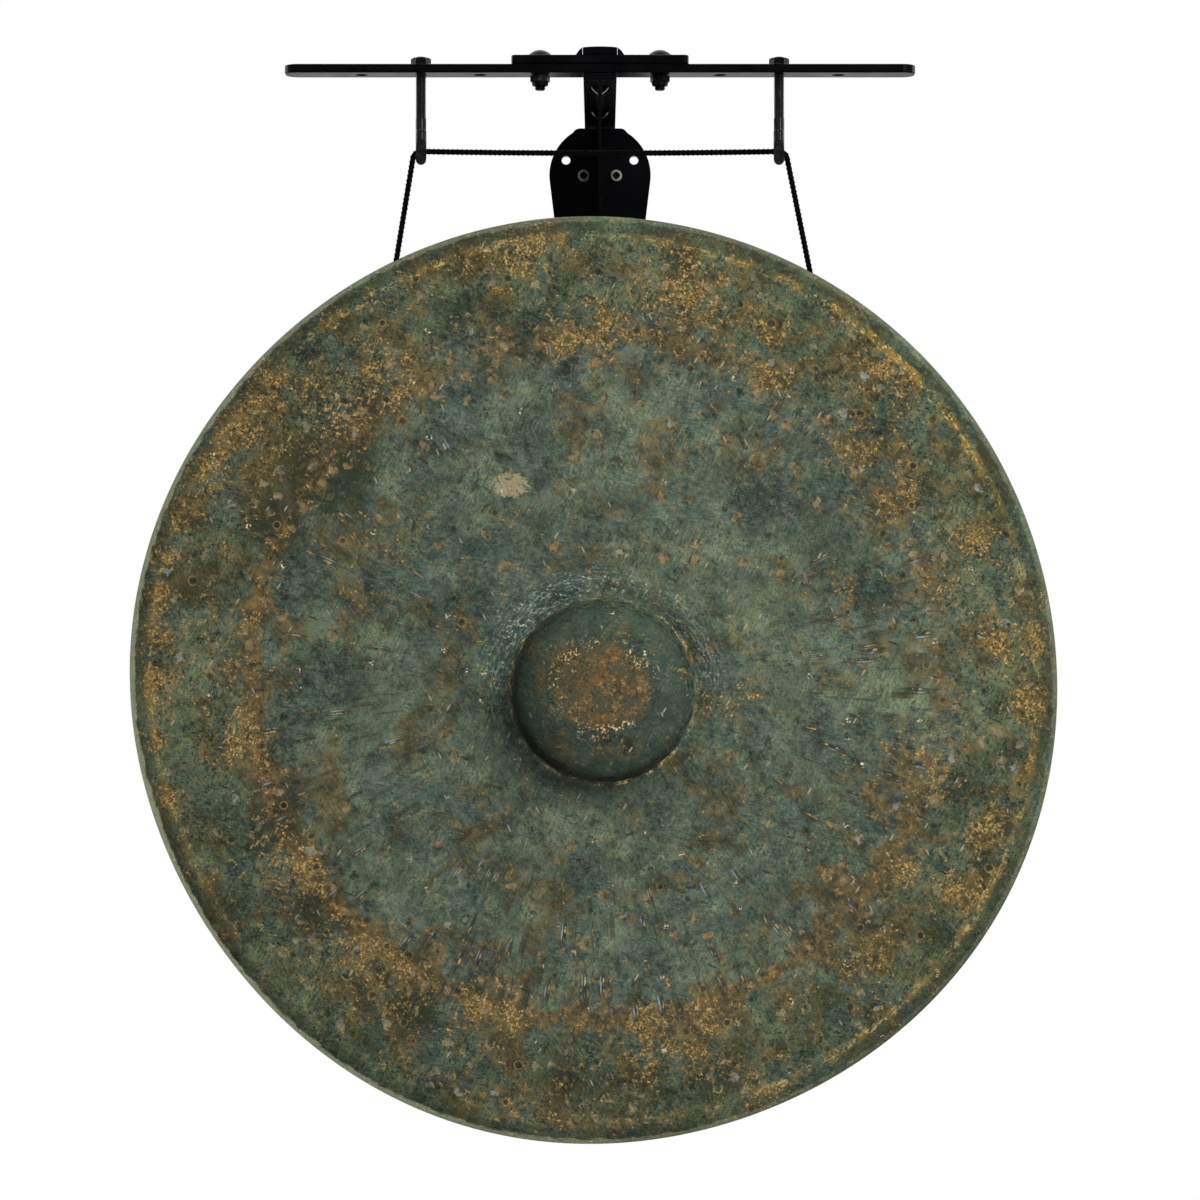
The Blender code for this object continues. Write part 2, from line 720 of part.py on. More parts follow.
def field_profile():
    """The groove at the boss's foot, the raised collar, and the inner field."""
    points = [
        (BOSS_RADIUS + GROOVE_HALF_WIDTH, GROOVE_DEPTH),
        (BOSS_RADIUS + 2 * GROOVE_HALF_WIDTH, GROOVE_DEPTH / 2),
    ]
    for share in (-1, -0.5, 0, 0.5, 1):
        radius = COLLAR_RADIUS + share * COLLAR_HALF_WIDTH
        points.append((radius, collar_depth(radius)))
    start = COLLAR_RADIUS + COLLAR_HALF_WIDTH
    end = BOUNDARY_RADIUS - BOUNDARY_HALF_WIDTH
    for share in (0.25, 0.5, 0.75, 1):
        depth = FIELD_DISH * math.sin(math.pi * share)
        points.append((start + share * (end - start), depth))
    return points


def outer_profile():
    """The punched trough round the field, the annulus, the shoulder and the rim."""
    shoulder = GONG_RADIUS - SHOULDER_WIDTH
    outside = BOUNDARY_RADIUS + BOUNDARY_HALF_WIDTH
    points = [
        (BOUNDARY_RADIUS, BOUNDARY_DEPTH),
        (outside, 0),
        ((outside + shoulder) / 2, ANNULUS_FALL / 3),
    ]
    steps = 5
    for step in range(steps + 1):
        angle = math.pi / 2 * step / steps
        radius = shoulder + SHOULDER_WIDTH * math.sin(angle)
        depth = ANNULUS_FALL + SHOULDER_DEPTH * (1 - math.cos(angle))
        points.append((radius, depth))
    start = ANNULUS_FALL + SHOULDER_DEPTH
    for share in (0.3, 0.65, 1):
        radius = GONG_RADIUS - RIM_DRAW_IN * share**1.3
        points.append((radius, start + share * (RIM_DEPTH - start)))
    return points


def offset_inward(profile, distance):
    """The same profile, moved to the back by the metal's thickness."""
    moved = []
    for index, (radius, depth) in enumerate(profile):
        before = profile[max(index - 1, 0)]
        after = profile[min(index + 1, len(profile) - 1)]
        along = Vector((after[0] - before[0], after[1] - before[1])).normalized()
        moved.append((radius - distance * along.y, depth + distance * along.x))
    return moved


def out_of_round(angle):
    """How much farther out the gong's outline lies at an angle from +X towards +Z."""
    return sum(
        height * math.cos(waves * (angle - crest))
        for waves, height, crest in OUTLINE_WAVES
    )


def smooth_share(value, start, end):
    """0 at start and 1 at end, with no kink at either."""
    share = min(max((value - start) / (end - start), 0), 1)
    return share * share * (3 - 2 * share)


def gong_mesh():
    """A turned sheet. Its middle is carried aside to where the boss stands, and its
    outline is taken out of round. The mesh's Y points down once it hangs."""
    front = boss_profile() + field_profile() + outer_profile()
    front[0] = (0, front[0][1])
    back = offset_inward(front, GONG_WALL)
    back[0] = (0, back[0][1])
    mesh = turned_mesh("gong", front + back[::-1], GONG_SIDES)
    inside = COLLAR_RADIUS + COLLAR_HALF_WIDTH
    outside = BOUNDARY_RADIUS - BOUNDARY_HALF_WIDTH
    for point in mesh.vertices:
        x, y, _ = point.co
        radius = math.hypot(x, y)
        if radius == 0:
            point.co.x = BOSS_ASIDE
            point.co.y = BOSS_DOWN
            continue
        middle = smooth_share(radius, outside, inside)
        edge = smooth_share(radius, outside, GONG_RADIUS - SHOULDER_WIDTH)
        farther = edge * out_of_round(math.atan2(-y, x)) / radius
        point.co.x = x * (1 + farther) + BOSS_ASIDE * middle
        point.co.y = y * (1 + farther) + BOSS_DOWN * middle
    return mesh, front


def mass_depth(mesh):
    """How far behind the face the metal's centre of mass lies."""
    mesh.calc_loop_triangles()
    volume = 0.0
    moment = 0.0
    for triangle in mesh.loop_triangles:
        a, b, c = (mesh.vertices[index].co for index in triangle.vertices)
        part = a.dot(b.cross(c)) / 6
        volume += part
        moment += part * (a.z + b.z + c.z) / 4
    return moment / volume


def radius_at(profile, depth):
    """The rim's outer radius at a depth, between the profile's own points."""
    found = GONG_RADIUS
    for near, far in zip(profile, profile[1:]):
        if near[1] <= depth <= far[1] and near[0] > BOUNDARY_RADIUS:
            share = (depth - near[1]) / (far[1] - near[1])
            found = near[0] + share * (far[0] - near[0])
    return found


def rope_hole_places(radius):
    """Where each end of the rope meets the outside of the rim, in X and Z."""
    places = {}
    for way, from_top in ((-1, HOLE_ANGLE_LEFT), (1, HOLE_ANGLE_RIGHT)):
        angle = math.pi / 2 - way * from_top
        out = radius + out_of_round(angle)
        across = GONG_ASIDE + out * math.cos(angle)
        places[way] = Vector((across, GONG_Z + out * math.sin(angle)))
    return places


def rope_leaves_rod(way, hole):
    """The angle on the hook rod, from the crown outward, where the rope turns down."""
    rod = Vector((way * ROPE_X, ROD_Z))
    to_hole = hole - rod
    lean = math.atan2(abs(to_hole.x), -to_hole.y)
    spread = math.asin(ROPE_WRAP / to_hole.length)
    return math.pi / 2 - (lean - spread)


def on_rod(way, angle):
    """A point of the rope's centre line over a hook rod."""
    return Vector(
        (
            way * (ROPE_X + ROPE_WRAP * math.sin(angle)),
            ROD_Z + ROPE_WRAP * math.cos(angle),
        )
    )


def at_height(start, end, height):
    """The point of a straight line at a height."""
    share = (height - start.y) / (end.y - start.y)
    return start + share * (end - start)


def rope_side(way, holes):
    """Points from the crown of a hook rod down to just above the hinge."""
    leaves = rope_leaves_rod(way, holes[way])
    steps = 7
    points = [on_rod(way, leaves * step / steps) for step in range(steps + 1)]
    stop = HINGE_Z + ROPE_RADIUS + GAP
    points.append(at_height(points[-1], holes[way], stop))
    return points


def make_rope_span(holes, finish):
    """The stretch that lies over both hooks, with a little sag between them."""
    left = rope_side(-1, holes)[::-1]
    right = rope_side(1, holes)
    count = math.ceil(2 * ROPE_X / ROPE_STEP)
    between = []
    for step in range(1, count):
        share = 2 * step / count - 1
        height = ROD_Z + ROPE_WRAP - ROPE_SAG * (1 - share * share)
        between.append(Vector((share * ROPE_X, height)))
    points = [(p.x, ROPE_Y, p.y) for p in left + between + right]
    tube("rope_span", points, ROPE_RADIUS, finish, ROPE_SIDE_STEPS)


def make_rope_ends(holes, pivot, finish):
    """The two straight drops, each with a round top on the hinge, and their knots."""
    round_top = (1, 0.85, 0.5)
    for side, way in SIDES:
        leaves = on_rod(way, rope_leaves_rod(way, holes[way]))
        top = at_height(leaves, holes[way], HINGE_Z)
        down = (holes[way] - top).normalized()
        centre = Vector((GONG_ASIDE, GONG_Z))
        slant = down.dot((centre - holes[way]).normalized())
        knot_middle = holes[way] + down * (
            (GONG_WALL + KNOT_RADIUS + 2 * GAP) / slant
        )
        end = knot_middle - down * (KNOT_LENGTH / 2 + GAP)
        length = (end - top).length
        count = round(length / ROPE_STEP)
        points = [top - down * ROPE_RADIUS * share for share in round_top]
        scales = [math.sqrt(1 - min(share, 0.98) ** 2) for share in round_top]
        points += [top + down * length * step / count for step in range(count + 1)]
        scales += [1.0] * (count + 1)
        placed = [(p.x, ROPE_Y, p.y) for p in points]
        name = "rope_drop_" + side
        drop = tube(name, placed, ROPE_RADIUS, finish, ROPE_SIDE_STEPS, scales)
        hang_from(drop, pivot)
        knot_mesh = turned_mesh("rope_knot_" + side, knot_profile(), HOLE_SIDES)
        lean = math.atan2(-down.x, -down.y)
        place = (knot_middle.x, ROPE_Y, knot_middle.y)
        knot = add_piece("rope_knot_" + side, knot_mesh, finish, place, (0, lean, 0))
        hang_from(knot, pivot)


def knot_profile():
    """A stopper knot from its crown down to the end of the tail below it."""
    steps = 10
    points = []
    for step in range(steps):
        angle = math.pi * step / steps
        radius = KNOT_RADIUS * math.sin(angle) ** 0.8
        points.append((radius, KNOT_LENGTH / 2 * math.cos(angle)))
    points[0] = (0, KNOT_LENGTH / 2)
    points = [point for point in points if point[0] > ROPE_RADIUS or point[1] > 0]
    tail = -KNOT_LENGTH / 2 - KNOT_TAIL
    return points + [(ROPE_RADIUS, -KNOT_LENGTH / 2), (ROPE_RADIUS, tail), (0, tail)]


def make_gong(holes, mesh, face_y, pivot, finish):
    place = (GONG_ASIDE, face_y, GONG_Z)
    gong = add_piece("gong", mesh, finish, place, FACING_BACK)
    hang_from(gong, pivot)
    for side, way in SIDES:
        hole = holes[way]
        rod = Vector((way * ROPE_X, ROD_Z))
        leaves = on_rod(way, rope_leaves_rod(way, hole))
        lean = math.atan2(leaves.x - hole.x, rod.y - hole.y)
        reach = 4 * GONG_WALL
        profile = [
            (0, reach),
            (ROPE_HOLE_RADIUS, reach),
            (ROPE_HOLE_RADIUS, -reach),
            (0, -reach),
        ]
        name = "rope_hole_" + side
        drill_mesh = turned_mesh(name, profile, HOLE_SIDES)
        place = (hole.x, ROPE_Y, hole.y)
        drill = add_piece(name, drill_mesh, None, place, (0, lean, 0))
        join_or_cut(gong, drill, "DIFFERENCE")


def make_hanging_gong(finishes):
    """The gong hangs plumb: its centre of mass and its rope holes are below the hooks."""
    pivot = bpy.data.objects.new("gong_pivot", None)
    bpy.context.scene.collection.objects.link(pivot)
    pivot.location = (0, ROPE_Y, HINGE_Z)
    mesh, profile = gong_mesh()
    depth = mass_depth(mesh)
    holes = rope_hole_places(radius_at(profile, depth))
    print(f"centre of mass {depth * 1000:.2f} mm behind the gong's face")
    make_gong(holes, mesh, ROPE_Y - depth, pivot, finishes["bronze"])
    make_rope_span(holes, finishes["rope"])
    make_rope_ends(holes, pivot, finishes["rope"])


def main():
    clear_scene()
    finishes = make_finishes()
    coat = finishes["powder_coat"]
    make_wall_plate(coat)
    make_foot_plate(coat)
    make_foot_screws(finishes["zinc"])
    make_arm(coat)
    make_tack_welds(coat)
    make_top_plate(coat)
    make_crossbar(coat)
    make_centre_post(coat)
    make_post_welds(coat)
    make_carriage_bolts(finishes["black_steel"])
    make_lock_nuts(finishes["black_steel"], finishes["nylon"])
    make_hooks(finishes["black_steel"])
    make_hook_nuts(finishes["black_steel"])
    make_hanging_gong(finishes)


main()
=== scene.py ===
# %% [markdown]
# A bossed bronze gong hangs from a steel wall bracket. Its solid model already exists,
# and this lesson dresses it: finer meshes where a plain solid is too smooth, and
# finishes made from nodes. Everything is in metres. Z points up, the wall is the plane
# Y = 0, and the gong faces the camera, towards -Y.

# %% Load the solid model
import math
import random

import bpy
import numpy as np
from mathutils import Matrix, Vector, kdtree


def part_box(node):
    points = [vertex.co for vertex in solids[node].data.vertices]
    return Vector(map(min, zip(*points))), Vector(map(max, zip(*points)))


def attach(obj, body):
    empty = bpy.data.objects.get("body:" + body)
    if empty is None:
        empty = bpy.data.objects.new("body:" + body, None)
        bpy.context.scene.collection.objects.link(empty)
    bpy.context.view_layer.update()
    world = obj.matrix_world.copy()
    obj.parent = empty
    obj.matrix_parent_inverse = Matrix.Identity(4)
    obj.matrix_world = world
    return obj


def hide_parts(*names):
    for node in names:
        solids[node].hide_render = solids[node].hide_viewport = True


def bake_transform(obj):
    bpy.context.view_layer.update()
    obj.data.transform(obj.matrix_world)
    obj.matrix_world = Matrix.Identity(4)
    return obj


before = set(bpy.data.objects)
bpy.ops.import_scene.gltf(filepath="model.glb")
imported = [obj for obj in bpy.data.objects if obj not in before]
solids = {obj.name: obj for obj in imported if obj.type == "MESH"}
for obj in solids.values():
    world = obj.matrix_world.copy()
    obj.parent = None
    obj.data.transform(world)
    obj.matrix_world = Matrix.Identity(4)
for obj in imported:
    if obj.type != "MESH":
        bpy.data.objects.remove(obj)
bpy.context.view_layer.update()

# %% [markdown]
# A long lens from three metres away keeps the gong's outline nearly a true circle, as
# in a shop photograph. The lens follows from the focal length in pixels of a picture
# 1200 pixels wide. The camera stands a little above the middle of the boss and tilts up
# a hair.

# %% Place the camera
PICTURE_WIDTH = 1200
FOCAL_LENGTH = 3812.3
EYE_DISTANCE = 3.0127
EYE_HEIGHT = -0.37484
EYE_TILT = math.radians(0.7514)
eye = bpy.data.cameras.new("camera")
eye.sensor_width = 36
eye.lens = eye.sensor_width * FOCAL_LENGTH / PICTURE_WIDTH
camera = bpy.data.objects.new("camera", eye)
camera.location = (0, -EYE_DISTANCE, EYE_HEIGHT)
camera.rotation_euler = (math.pi / 2 + EYE_TILT, 0, 0)
bpy.context.scene.collection.objects.link(camera)
bpy.context.scene.camera = camera
bpy.context.scene.view_settings.view_transform = "Standard"
print("lens", round(eye.lens, 2), "mm")

# %% [markdown]
# A few helpers serve every finish. Colours are written as the hex values that a picture
# editor shows, and a renderer needs them linear. Another helper adds one node, sets its
# properties, and fills its inputs with numbers or with links from other nodes.


# %% Colour and node helpers
def linear(colour):
    """An sRGB hex colour as linear red, green, blue and alpha."""
    channels = [int(colour[at : at + 2], 16) / 255 for at in (1, 3, 5)]
    return [c / 12.92 if c <= 0.04045 else ((c + 0.055) / 1.055) ** 2.4 for c in channels] + [1]


def add(tree, kind, inputs=(), out=0, stops=(), **settings):
    """Adds a shader node and returns one output, or all of them where out is None."""
    node = tree.nodes.new("ShaderNode" + kind)
    for name, value in settings.items():
        setattr(node, name, value)
    for _ in stops[2:]:
        node.color_ramp.elements.new(0.5)
    for at, (place, shade) in enumerate(stops):
        node.color_ramp.elements[at].position = place
        node.color_ramp.elements[at].color = linear(shade)
    for socket, value in dict(inputs).items():
        if isinstance(value, bpy.types.NodeSocket):
            tree.links.new(value, node.inputs[socket])
        else:
            node.inputs[socket].default_value = value
    return node.outputs if out is None else node.outputs[out]


def new_finish(name):
    """An empty material, with its node tree and its output node's surface input."""
    finish = bpy.data.materials.new(name)
    finish.use_nodes = True
    finish.node_tree.nodes.clear()
    output = finish.node_tree.nodes.new("ShaderNodeOutputMaterial")
    return finish, finish.node_tree, output.inputs["Surface"]


# %% [markdown]
# The studio is a pale floor below the object, a white background, and soft light. What
# a polished black surface shows is the room around it, so reflected rays see white
# behind the object and a dim room in front of it, and rough surfaces get an even grey
# light from all sides. One large lamp high on the right gives the boss its form. It and
# the fill lamp aren't seen in reflections. A small narrow light in front, on the right,
# is seen there instead, and draws a bright line down each round steel rod.

# %% Light the studio
ROOM_LIGHT = 0.36
DIM_ROOM = 0.03
STRIP_LIGHT = 2.2
STRIP_SIDES = [
    ("X", 0.38, 0.44), ("X", 0.60, 0.54), ("Y", -0.2, -0.4), ("Z", -0.30, -0.15), ("Z", 0.30, 0.15)
]
world = bpy.data.worlds.new("white studio")
world.use_nodes = True
bpy.context.scene.world = world
room = world.node_tree
room.nodes.clear()
ray = add(room, "LightPath", out=None)
direction = add(room, "TexCoord", out="Generated")
toward = add(room, "SeparateXYZ", {0: direction}, out=None)
inputs = {0: toward["Y"], 1: -0.1, 2: 0.25, 3: DIM_ROOM, 4: 1.0}
reflected = add(room, "MapRange", inputs, interpolation_type="SMOOTHSTEP")
above = add(room, "MapRange", {0: toward["Z"], 1: -0.25, 2: 0.05, 3: 0.4, 4: 1.0})
reflected = add(room, "Math", {0: reflected, 1: above}, operation="MULTIPLY")
strip = STRIP_LIGHT
for axis, start, end in STRIP_SIDES:
    inside = add(room, "MapRange", {0: toward[axis], 1: start, 2: end})
    strip = add(room, "Math", {0: strip, 1: inside}, operation="MULTIPLY")
reflected = add(room, "Math", {0: reflected, 1: strip}, operation="ADD")
unseen = add(room, "Mix", {0: ray["Is Glossy Ray"], 2: ROOM_LIGHT, 3: reflected})
inputs = {0: ray["Is Camera Ray"], 1: ray["Is Transmission Ray"]}
seen = add(room, "Math", inputs, operation="MAXIMUM")
strength = add(room, "Mix", {0: seen, 2: unseen, 3: 1.0})
background = add(room, "Background", {0: (1, 1, 1, 1), 1: strength})
add(room, "OutputWorld", {0: background}, out=None)

LAMPS = [("key lamp", (1.9, -2.6, 1.4), 1.6, 106), ("fill lamp", (-2.4, -2.4, 0.3), 2.0, 5)]
LAMPS_AIM = Vector((0, -0.25, -0.4))
for name, place, width, power in LAMPS:
    light = bpy.data.lights.new(name, "AREA")
    light.size = width
    light.energy = power
    lamp = bpy.data.objects.new(name, light)
    lamp.location = place
    lamp.visible_glossy = False
    lamp.rotation_euler = (LAMPS_AIM - lamp.location).to_track_quat("-Z", "Y").to_euler()
    bpy.context.scene.collection.objects.link(lamp)
print("lamps:", [name for name, *_ in LAMPS])

# %% [markdown]
# The floor is a plain sheet of board, a little below the lowest edge of the picture. It
# gives the object a ground in the other views, and sends some light up to the rim. Seen
# in a reflection it is dark, as the far ground of a studio is.

# %% Lay the floor
FLOOR_HEIGHT = -1.15
FLOOR_CORNERS = [(-2, -2), (2, -2), (2, 2), (-2, 2)]
floor_shape = bpy.data.meshes.new("floor")
floor_shape.from_pydata([(x, y, FLOOR_HEIGHT) for x, y in FLOOR_CORNERS], [], [(0, 1, 2, 3)])
floor = bpy.data.objects.new("floor", floor_shape)
bpy.context.scene.collection.objects.link(floor)
matt_board, tree, surface = new_finish("matt white board")
grain = add(tree, "TexNoise", {"Scale": 40.0, "Detail": 4.0})
paper = add(tree, "ValToRGB", {0: grain}, stops=[(0.3, "#DEDDDA"), (0.7, "#E6E5E2")])
glossy = add(tree, "LightPath", out="Is Glossy Ray")
inputs = {0: glossy, 6: paper, 7: linear("#2E2E2D")}
paper = add(tree, "Mix", inputs, out=2, data_type="RGBA")
board = add(tree, "BsdfPrincipled", {"Base Color": paper, "Roughness": 0.8})
tree.links.new(board, surface)
floor_shape.materials.append(matt_board)
print("floor at", FLOOR_HEIGHT, "m")

# %% [markdown]
# The cord comes first among the pieces. It is one length of braided cord. It is knotted
# inside the gong's rim on the left, goes up over the left hook, across to the right
# hook, and down to a second knot. Only its own weight bends the stretch between the
# hooks, so that one sags a little, and the two drops are straight.

# %% Lay out the cord's route
ROD_RADIUS = 0.00385
CORD_DEPTH = -0.2634815
ROD_OUT = 0.1292935
ROD_HEIGHT = -0.0207
WRAP_RADIUS = 0.0059
CORD_SAG = 0.0012
CORD_STEP = 0.00055
RIM_HOLES = {-1: (-0.147082, -0.09352), 1: (0.151644, -0.101851)}
INSIDE_RIM = 0.0062


def cord_side(way):
    """From the crown of a hook down into the rim, as points in the X-Z plane."""
    hole = Vector(RIM_HOLES[way])
    to_hole = hole - Vector((way * ROD_OUT, ROD_HEIGHT))
    lean = math.atan2(abs(to_hole.x), -to_hole.y)
    leaves = math.pi / 2 - (lean - math.asin(WRAP_RADIUS / to_hole.length))
    points = []
    for angle in leaves * np.linspace(0, 1, 9):
        across = way * (ROD_OUT + WRAP_RADIUS * math.sin(angle))
        points.append(Vector((across, ROD_HEIGHT + WRAP_RADIUS * math.cos(angle))))
    drop = hole - points[-1]
    inside = points[-1] + drop * (1 + INSIDE_RIM / drop.length)
    return points + [points[-1].lerp(inside, share) for share in (0.25, 0.5, 0.75, 1)]


left_side = cord_side(-1)[::-1]
right_side = cord_side(1)
between = []
for share in np.linspace(-1, 1, 19)[1:-1]:
    height = ROD_HEIGHT + WRAP_RADIUS - CORD_SAG * (1 - share * share)
    between.append(Vector((share * ROD_OUT, height)))
route = [(p.x, CORD_DEPTH, p.y) for p in left_side + between + right_side]

# %% [markdown]
# A braid is eight strands. Four run round the cord one way and four the other way, and
# each passes over one strand and under the next. Modelled as tubes, the strands catch
# the light as the little lozenges seen on a real cord. A bump pattern would not give
# the scalloped outline that a real cord has.


# %% Build braided cord along any route
LAY_LENGTH = 0.0136
STRAND_ORBIT = 0.00138
STRAND_WAVE = 0.00040
STRAND_HALF_THICK = 0.00052
STRAND_HALF_WIDE = 0.00072
STRAND_SIDES = 6
SIDE_ANGLES = [2 * math.pi * side / STRAND_SIDES for side in range(STRAND_SIDES)]


def evenly(points, step):
    """The same route as points a fixed step apart."""
    points = np.array(points, float)
    lengths = np.linalg.norm(np.diff(points, axis=0), axis=1)
    along = np.concatenate([[0], np.cumsum(lengths)])
    places = np.linspace(0, along[-1], max(int(along[-1] / step), 8))
    return np.stack([np.interp(places, along, points[:, k]) for k in range(3)], 1)


def steady_frames(points):
    """At each point, the route's direction and two directions square to it."""
    ahead = np.gradient(points, axis=0)
    ahead /= np.linalg.norm(ahead, axis=1)[:, None]
    side = np.cross(ahead[0], (0.0, 1.0, 0.0))
    sides = []
    for direction in ahead:
        side = side - direction * np.dot(side, direction)
        side = side / np.linalg.norm(side)
        sides.append(side)
    sides = np.array(sides)
    return ahead, sides, np.cross(ahead, sides)


def tube_faces(rows, sides, start):
    """Quads round a tube of point rings, with a cap at each end."""
    faces = []
    for row in range(rows - 1):
        for side in range(sides):
            a = start + row * sides + side
            b = start + row * sides + (side + 1) % sides
            faces.append((a, b, b + sides, a + sides))
    last = start + (rows - 1) * sides
    faces.append(tuple(start + side for side in range(sides))[::-1])
    faces.append(tuple(last + side for side in range(sides)))
    return faces


def make_piece(name, places, faces, smooth=True):
    """A mesh object, linked into the scene and smoothly shaded."""
    shape = bpy.data.meshes.new(name)
    shape.from_pydata([tuple(p) for p in places], [], faces)
    shape.update()
    shape.polygons.foreach_set("use_smooth", [smooth] * len(shape.polygons))
    piece = bpy.data.objects.new(name, shape)
    bpy.context.scene.collection.objects.link(piece)
    return piece


def braid(name, points, step):
    """Eight strands and a core along a route."""
    points = evenly(points, step)
    ahead, across, up = steady_frames(points)
    steps = np.linalg.norm(np.diff(points, axis=0), axis=1)
    turns = np.concatenate([[0], np.cumsum(steps)]) / LAY_LENGTH
    tubes = []
    for strand in range(8):
        way = 1 if strand < 4 else -1
        angle = way * 2 * np.pi * turns + np.pi / 2 * (strand % 4)
        orbit = STRAND_ORBIT + way * STRAND_WAVE * np.cos(8 * np.pi * turns)
        out = np.cos(angle)[:, None] * across + np.sin(angle)[:, None] * up
        wide = np.cross(ahead, out) - way * 2 * np.pi * STRAND_ORBIT / LAY_LENGTH * ahead
        wide /= np.linalg.norm(wide, axis=1)[:, None]
        middle = points + orbit[:, None] * out
        tubes.append((middle, STRAND_HALF_THICK, out, STRAND_HALF_WIDE, wide))
    tubes.append((points, STRAND_ORBIT, across, STRAND_ORBIT, up))
    places, faces = [], []
    for turn, (middle, thick, out, width, wide) in enumerate(tubes):
        ring = [middle + thick * math.cos(a) * out + width * math.sin(a) * wide for a in SIDE_ANGLES]
        places.append(np.stack(ring, 1).reshape(-1, 3))
        faces += tube_faces(len(points), STRAND_SIDES, turn * len(points) * STRAND_SIDES)
    return make_piece(name, np.concatenate(places), faces)


cord = braid("braided_cord", route, CORD_STEP)
print("cord:", len(cord.data.polygons), "faces")

# %% [markdown]
# The cord is black polyester, braided from many fine filaments. Dyed fibre is very dark
# and has a soft sheen, and the gaps between its filaments swallow most of the shine, so
# the specular level is low. The filaments run along each strand, finer than the picture
# can show, so a fine noise stands for them.

# %% Finish the cord
FILAMENT_NOISE = 1 / 0.0004
black_polyester, tree, surface = new_finish("braided black polyester")
place = add(tree, "TexCoord", out="Object")
fuzz = add(tree, "TexNoise", {0: place, "Scale": FILAMENT_NOISE, "Detail": 2.0})
stops = [(0.3, "#040405"), (0.55, "#060608"), (0.8, "#0E0E11")]
dye = add(tree, "ValToRGB", {0: fuzz}, stops=stops)
relief = add(tree, "Bump", {"Height": fuzz, "Distance": 0.0001})
inputs = {"Base Color": dye, "Roughness": 0.8, "IOR": 1.53, "Specular IOR Level": 0.25}
inputs |= {"Sheen Weight": 0.03, "Sheen Roughness": 0.4, "Normal": relief}
polyester = add(tree, "BsdfPrincipled", inputs)
tree.links.new(polyester, surface)
cord.data.materials.append(black_polyester)
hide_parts("rope_span", "rope_drop_left", "rope_drop_right")

# %% [markdown]
# Each end is stopped inside the rim by an overhand knot. A knot's curve can be written
# as three polynomials, which pass over and under themselves in the right order. The
# same braid runs along it, pulled tight.


# %% Tie the two knots
KNOT_SPREAD = 0.00124
KNOT_RISE = 0.00030
KNOT_DROP = 0.0062
KNOT_TAIL = 0.010


def knot_route(top, down):
    """An overhand knot that hangs below top, with a short tail under it."""
    square = Vector((0, 1, 0))
    aside = down.cross(square)
    middle = top + down * KNOT_DROP
    points = [top]
    for bend in np.linspace(-2.02, 2.02, 60):
        across = KNOT_SPREAD * (bend**3 - 3 * bend)
        forward = KNOT_SPREAD * (bend**4 - 4 * bend**2 + 2)
        along = KNOT_RISE * (bend**5 - 10 * bend)
        points.append(middle + aside * across + square * forward + down * along)
    points.append(points[-1] + down * KNOT_TAIL)
    return points


for side, way, end in (("left", -1, left_side[0]), ("right", 1, right_side[-1])):
    hole = Vector((RIM_HOLES[way][0], CORD_DEPTH, RIM_HOLES[way][1]))
    end = Vector((end.x, CORD_DEPTH, end.y))
    knot = braid("cord_knot_" + side, knot_route(end, (end - hole).normalized()), CORD_STEP)
    knot.data.materials.append(black_polyester)
    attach(knot, "hanging_gong")
    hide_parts("rope_knot_" + side)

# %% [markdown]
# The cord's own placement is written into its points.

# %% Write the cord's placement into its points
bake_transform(cord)

# %% [markdown]
# The bracket's plates are steel under a black powder coat: charged powder is sprayed on
# and melts in an oven. It leaves an even satin film with a faint orange-peel ripple
# about a millimetre across, a few dust specks, and slight changes of gloss.

# %% Powder-coat the plates
coat, tree, surface = new_finish("satin black powder coat")
place = add(tree, "TexCoord", out="Object")
ripple = add(tree, "TexNoise", {0: place, "Scale": 1 / 0.0014, "Detail": 2.0})
patches = add(tree, "TexNoise", {0: place, "Scale": 1 / 0.02, "Detail": 5.0})
dust = add(tree, "TexNoise", {0: place, "Scale": 1 / 0.0009, "Detail": 1.0})
colour = add(tree, "ValToRGB", {0: patches}, stops=[(0.3, "#020204"), (0.7, "#05060A")])
specks = add(tree, "MapRange", {0: dust, 1: 0.70, 2: 0.78, 4: 0.35})
inputs = {0: specks, 6: colour, 7: linear("#26282E")}
colour = add(tree, "Mix", inputs, out=2, data_type="RGBA")
sheen = add(tree, "MapRange", {0: patches, 1: 0.3, 2: 0.7, 3: 0.26, 4: 0.34})
relief = add(tree, "Bump", {"Height": ripple, "Distance": 0.00004, "Strength": 0.4})
inputs = {"Base Color": colour, "Roughness": sheen, "IOR": 1.5, "Normal": relief}
powder = add(tree, "BsdfPrincipled", inputs)
tree.links.new(powder, surface)

UNCOATED = ("foot_screw", "carriage_bolt", "lock", "j_hook", "hook_nut", "rope", "gong")
plates = [name for name in solids if not name.startswith(UNCOATED)]
for name in plates:
    for slot in solids[name].material_slots:
        slot.material = coat
print("coated:", plates)

# %% [markdown]
# The bolts, nuts and hooks are blackened steel: plain steel given a dark oxide in a hot
# bath, then oiled. It is a metal with a dark, uneven colour, and the tops and corners
# rub bright again. The domed bolt heads are smoother, so they shine more sharply.


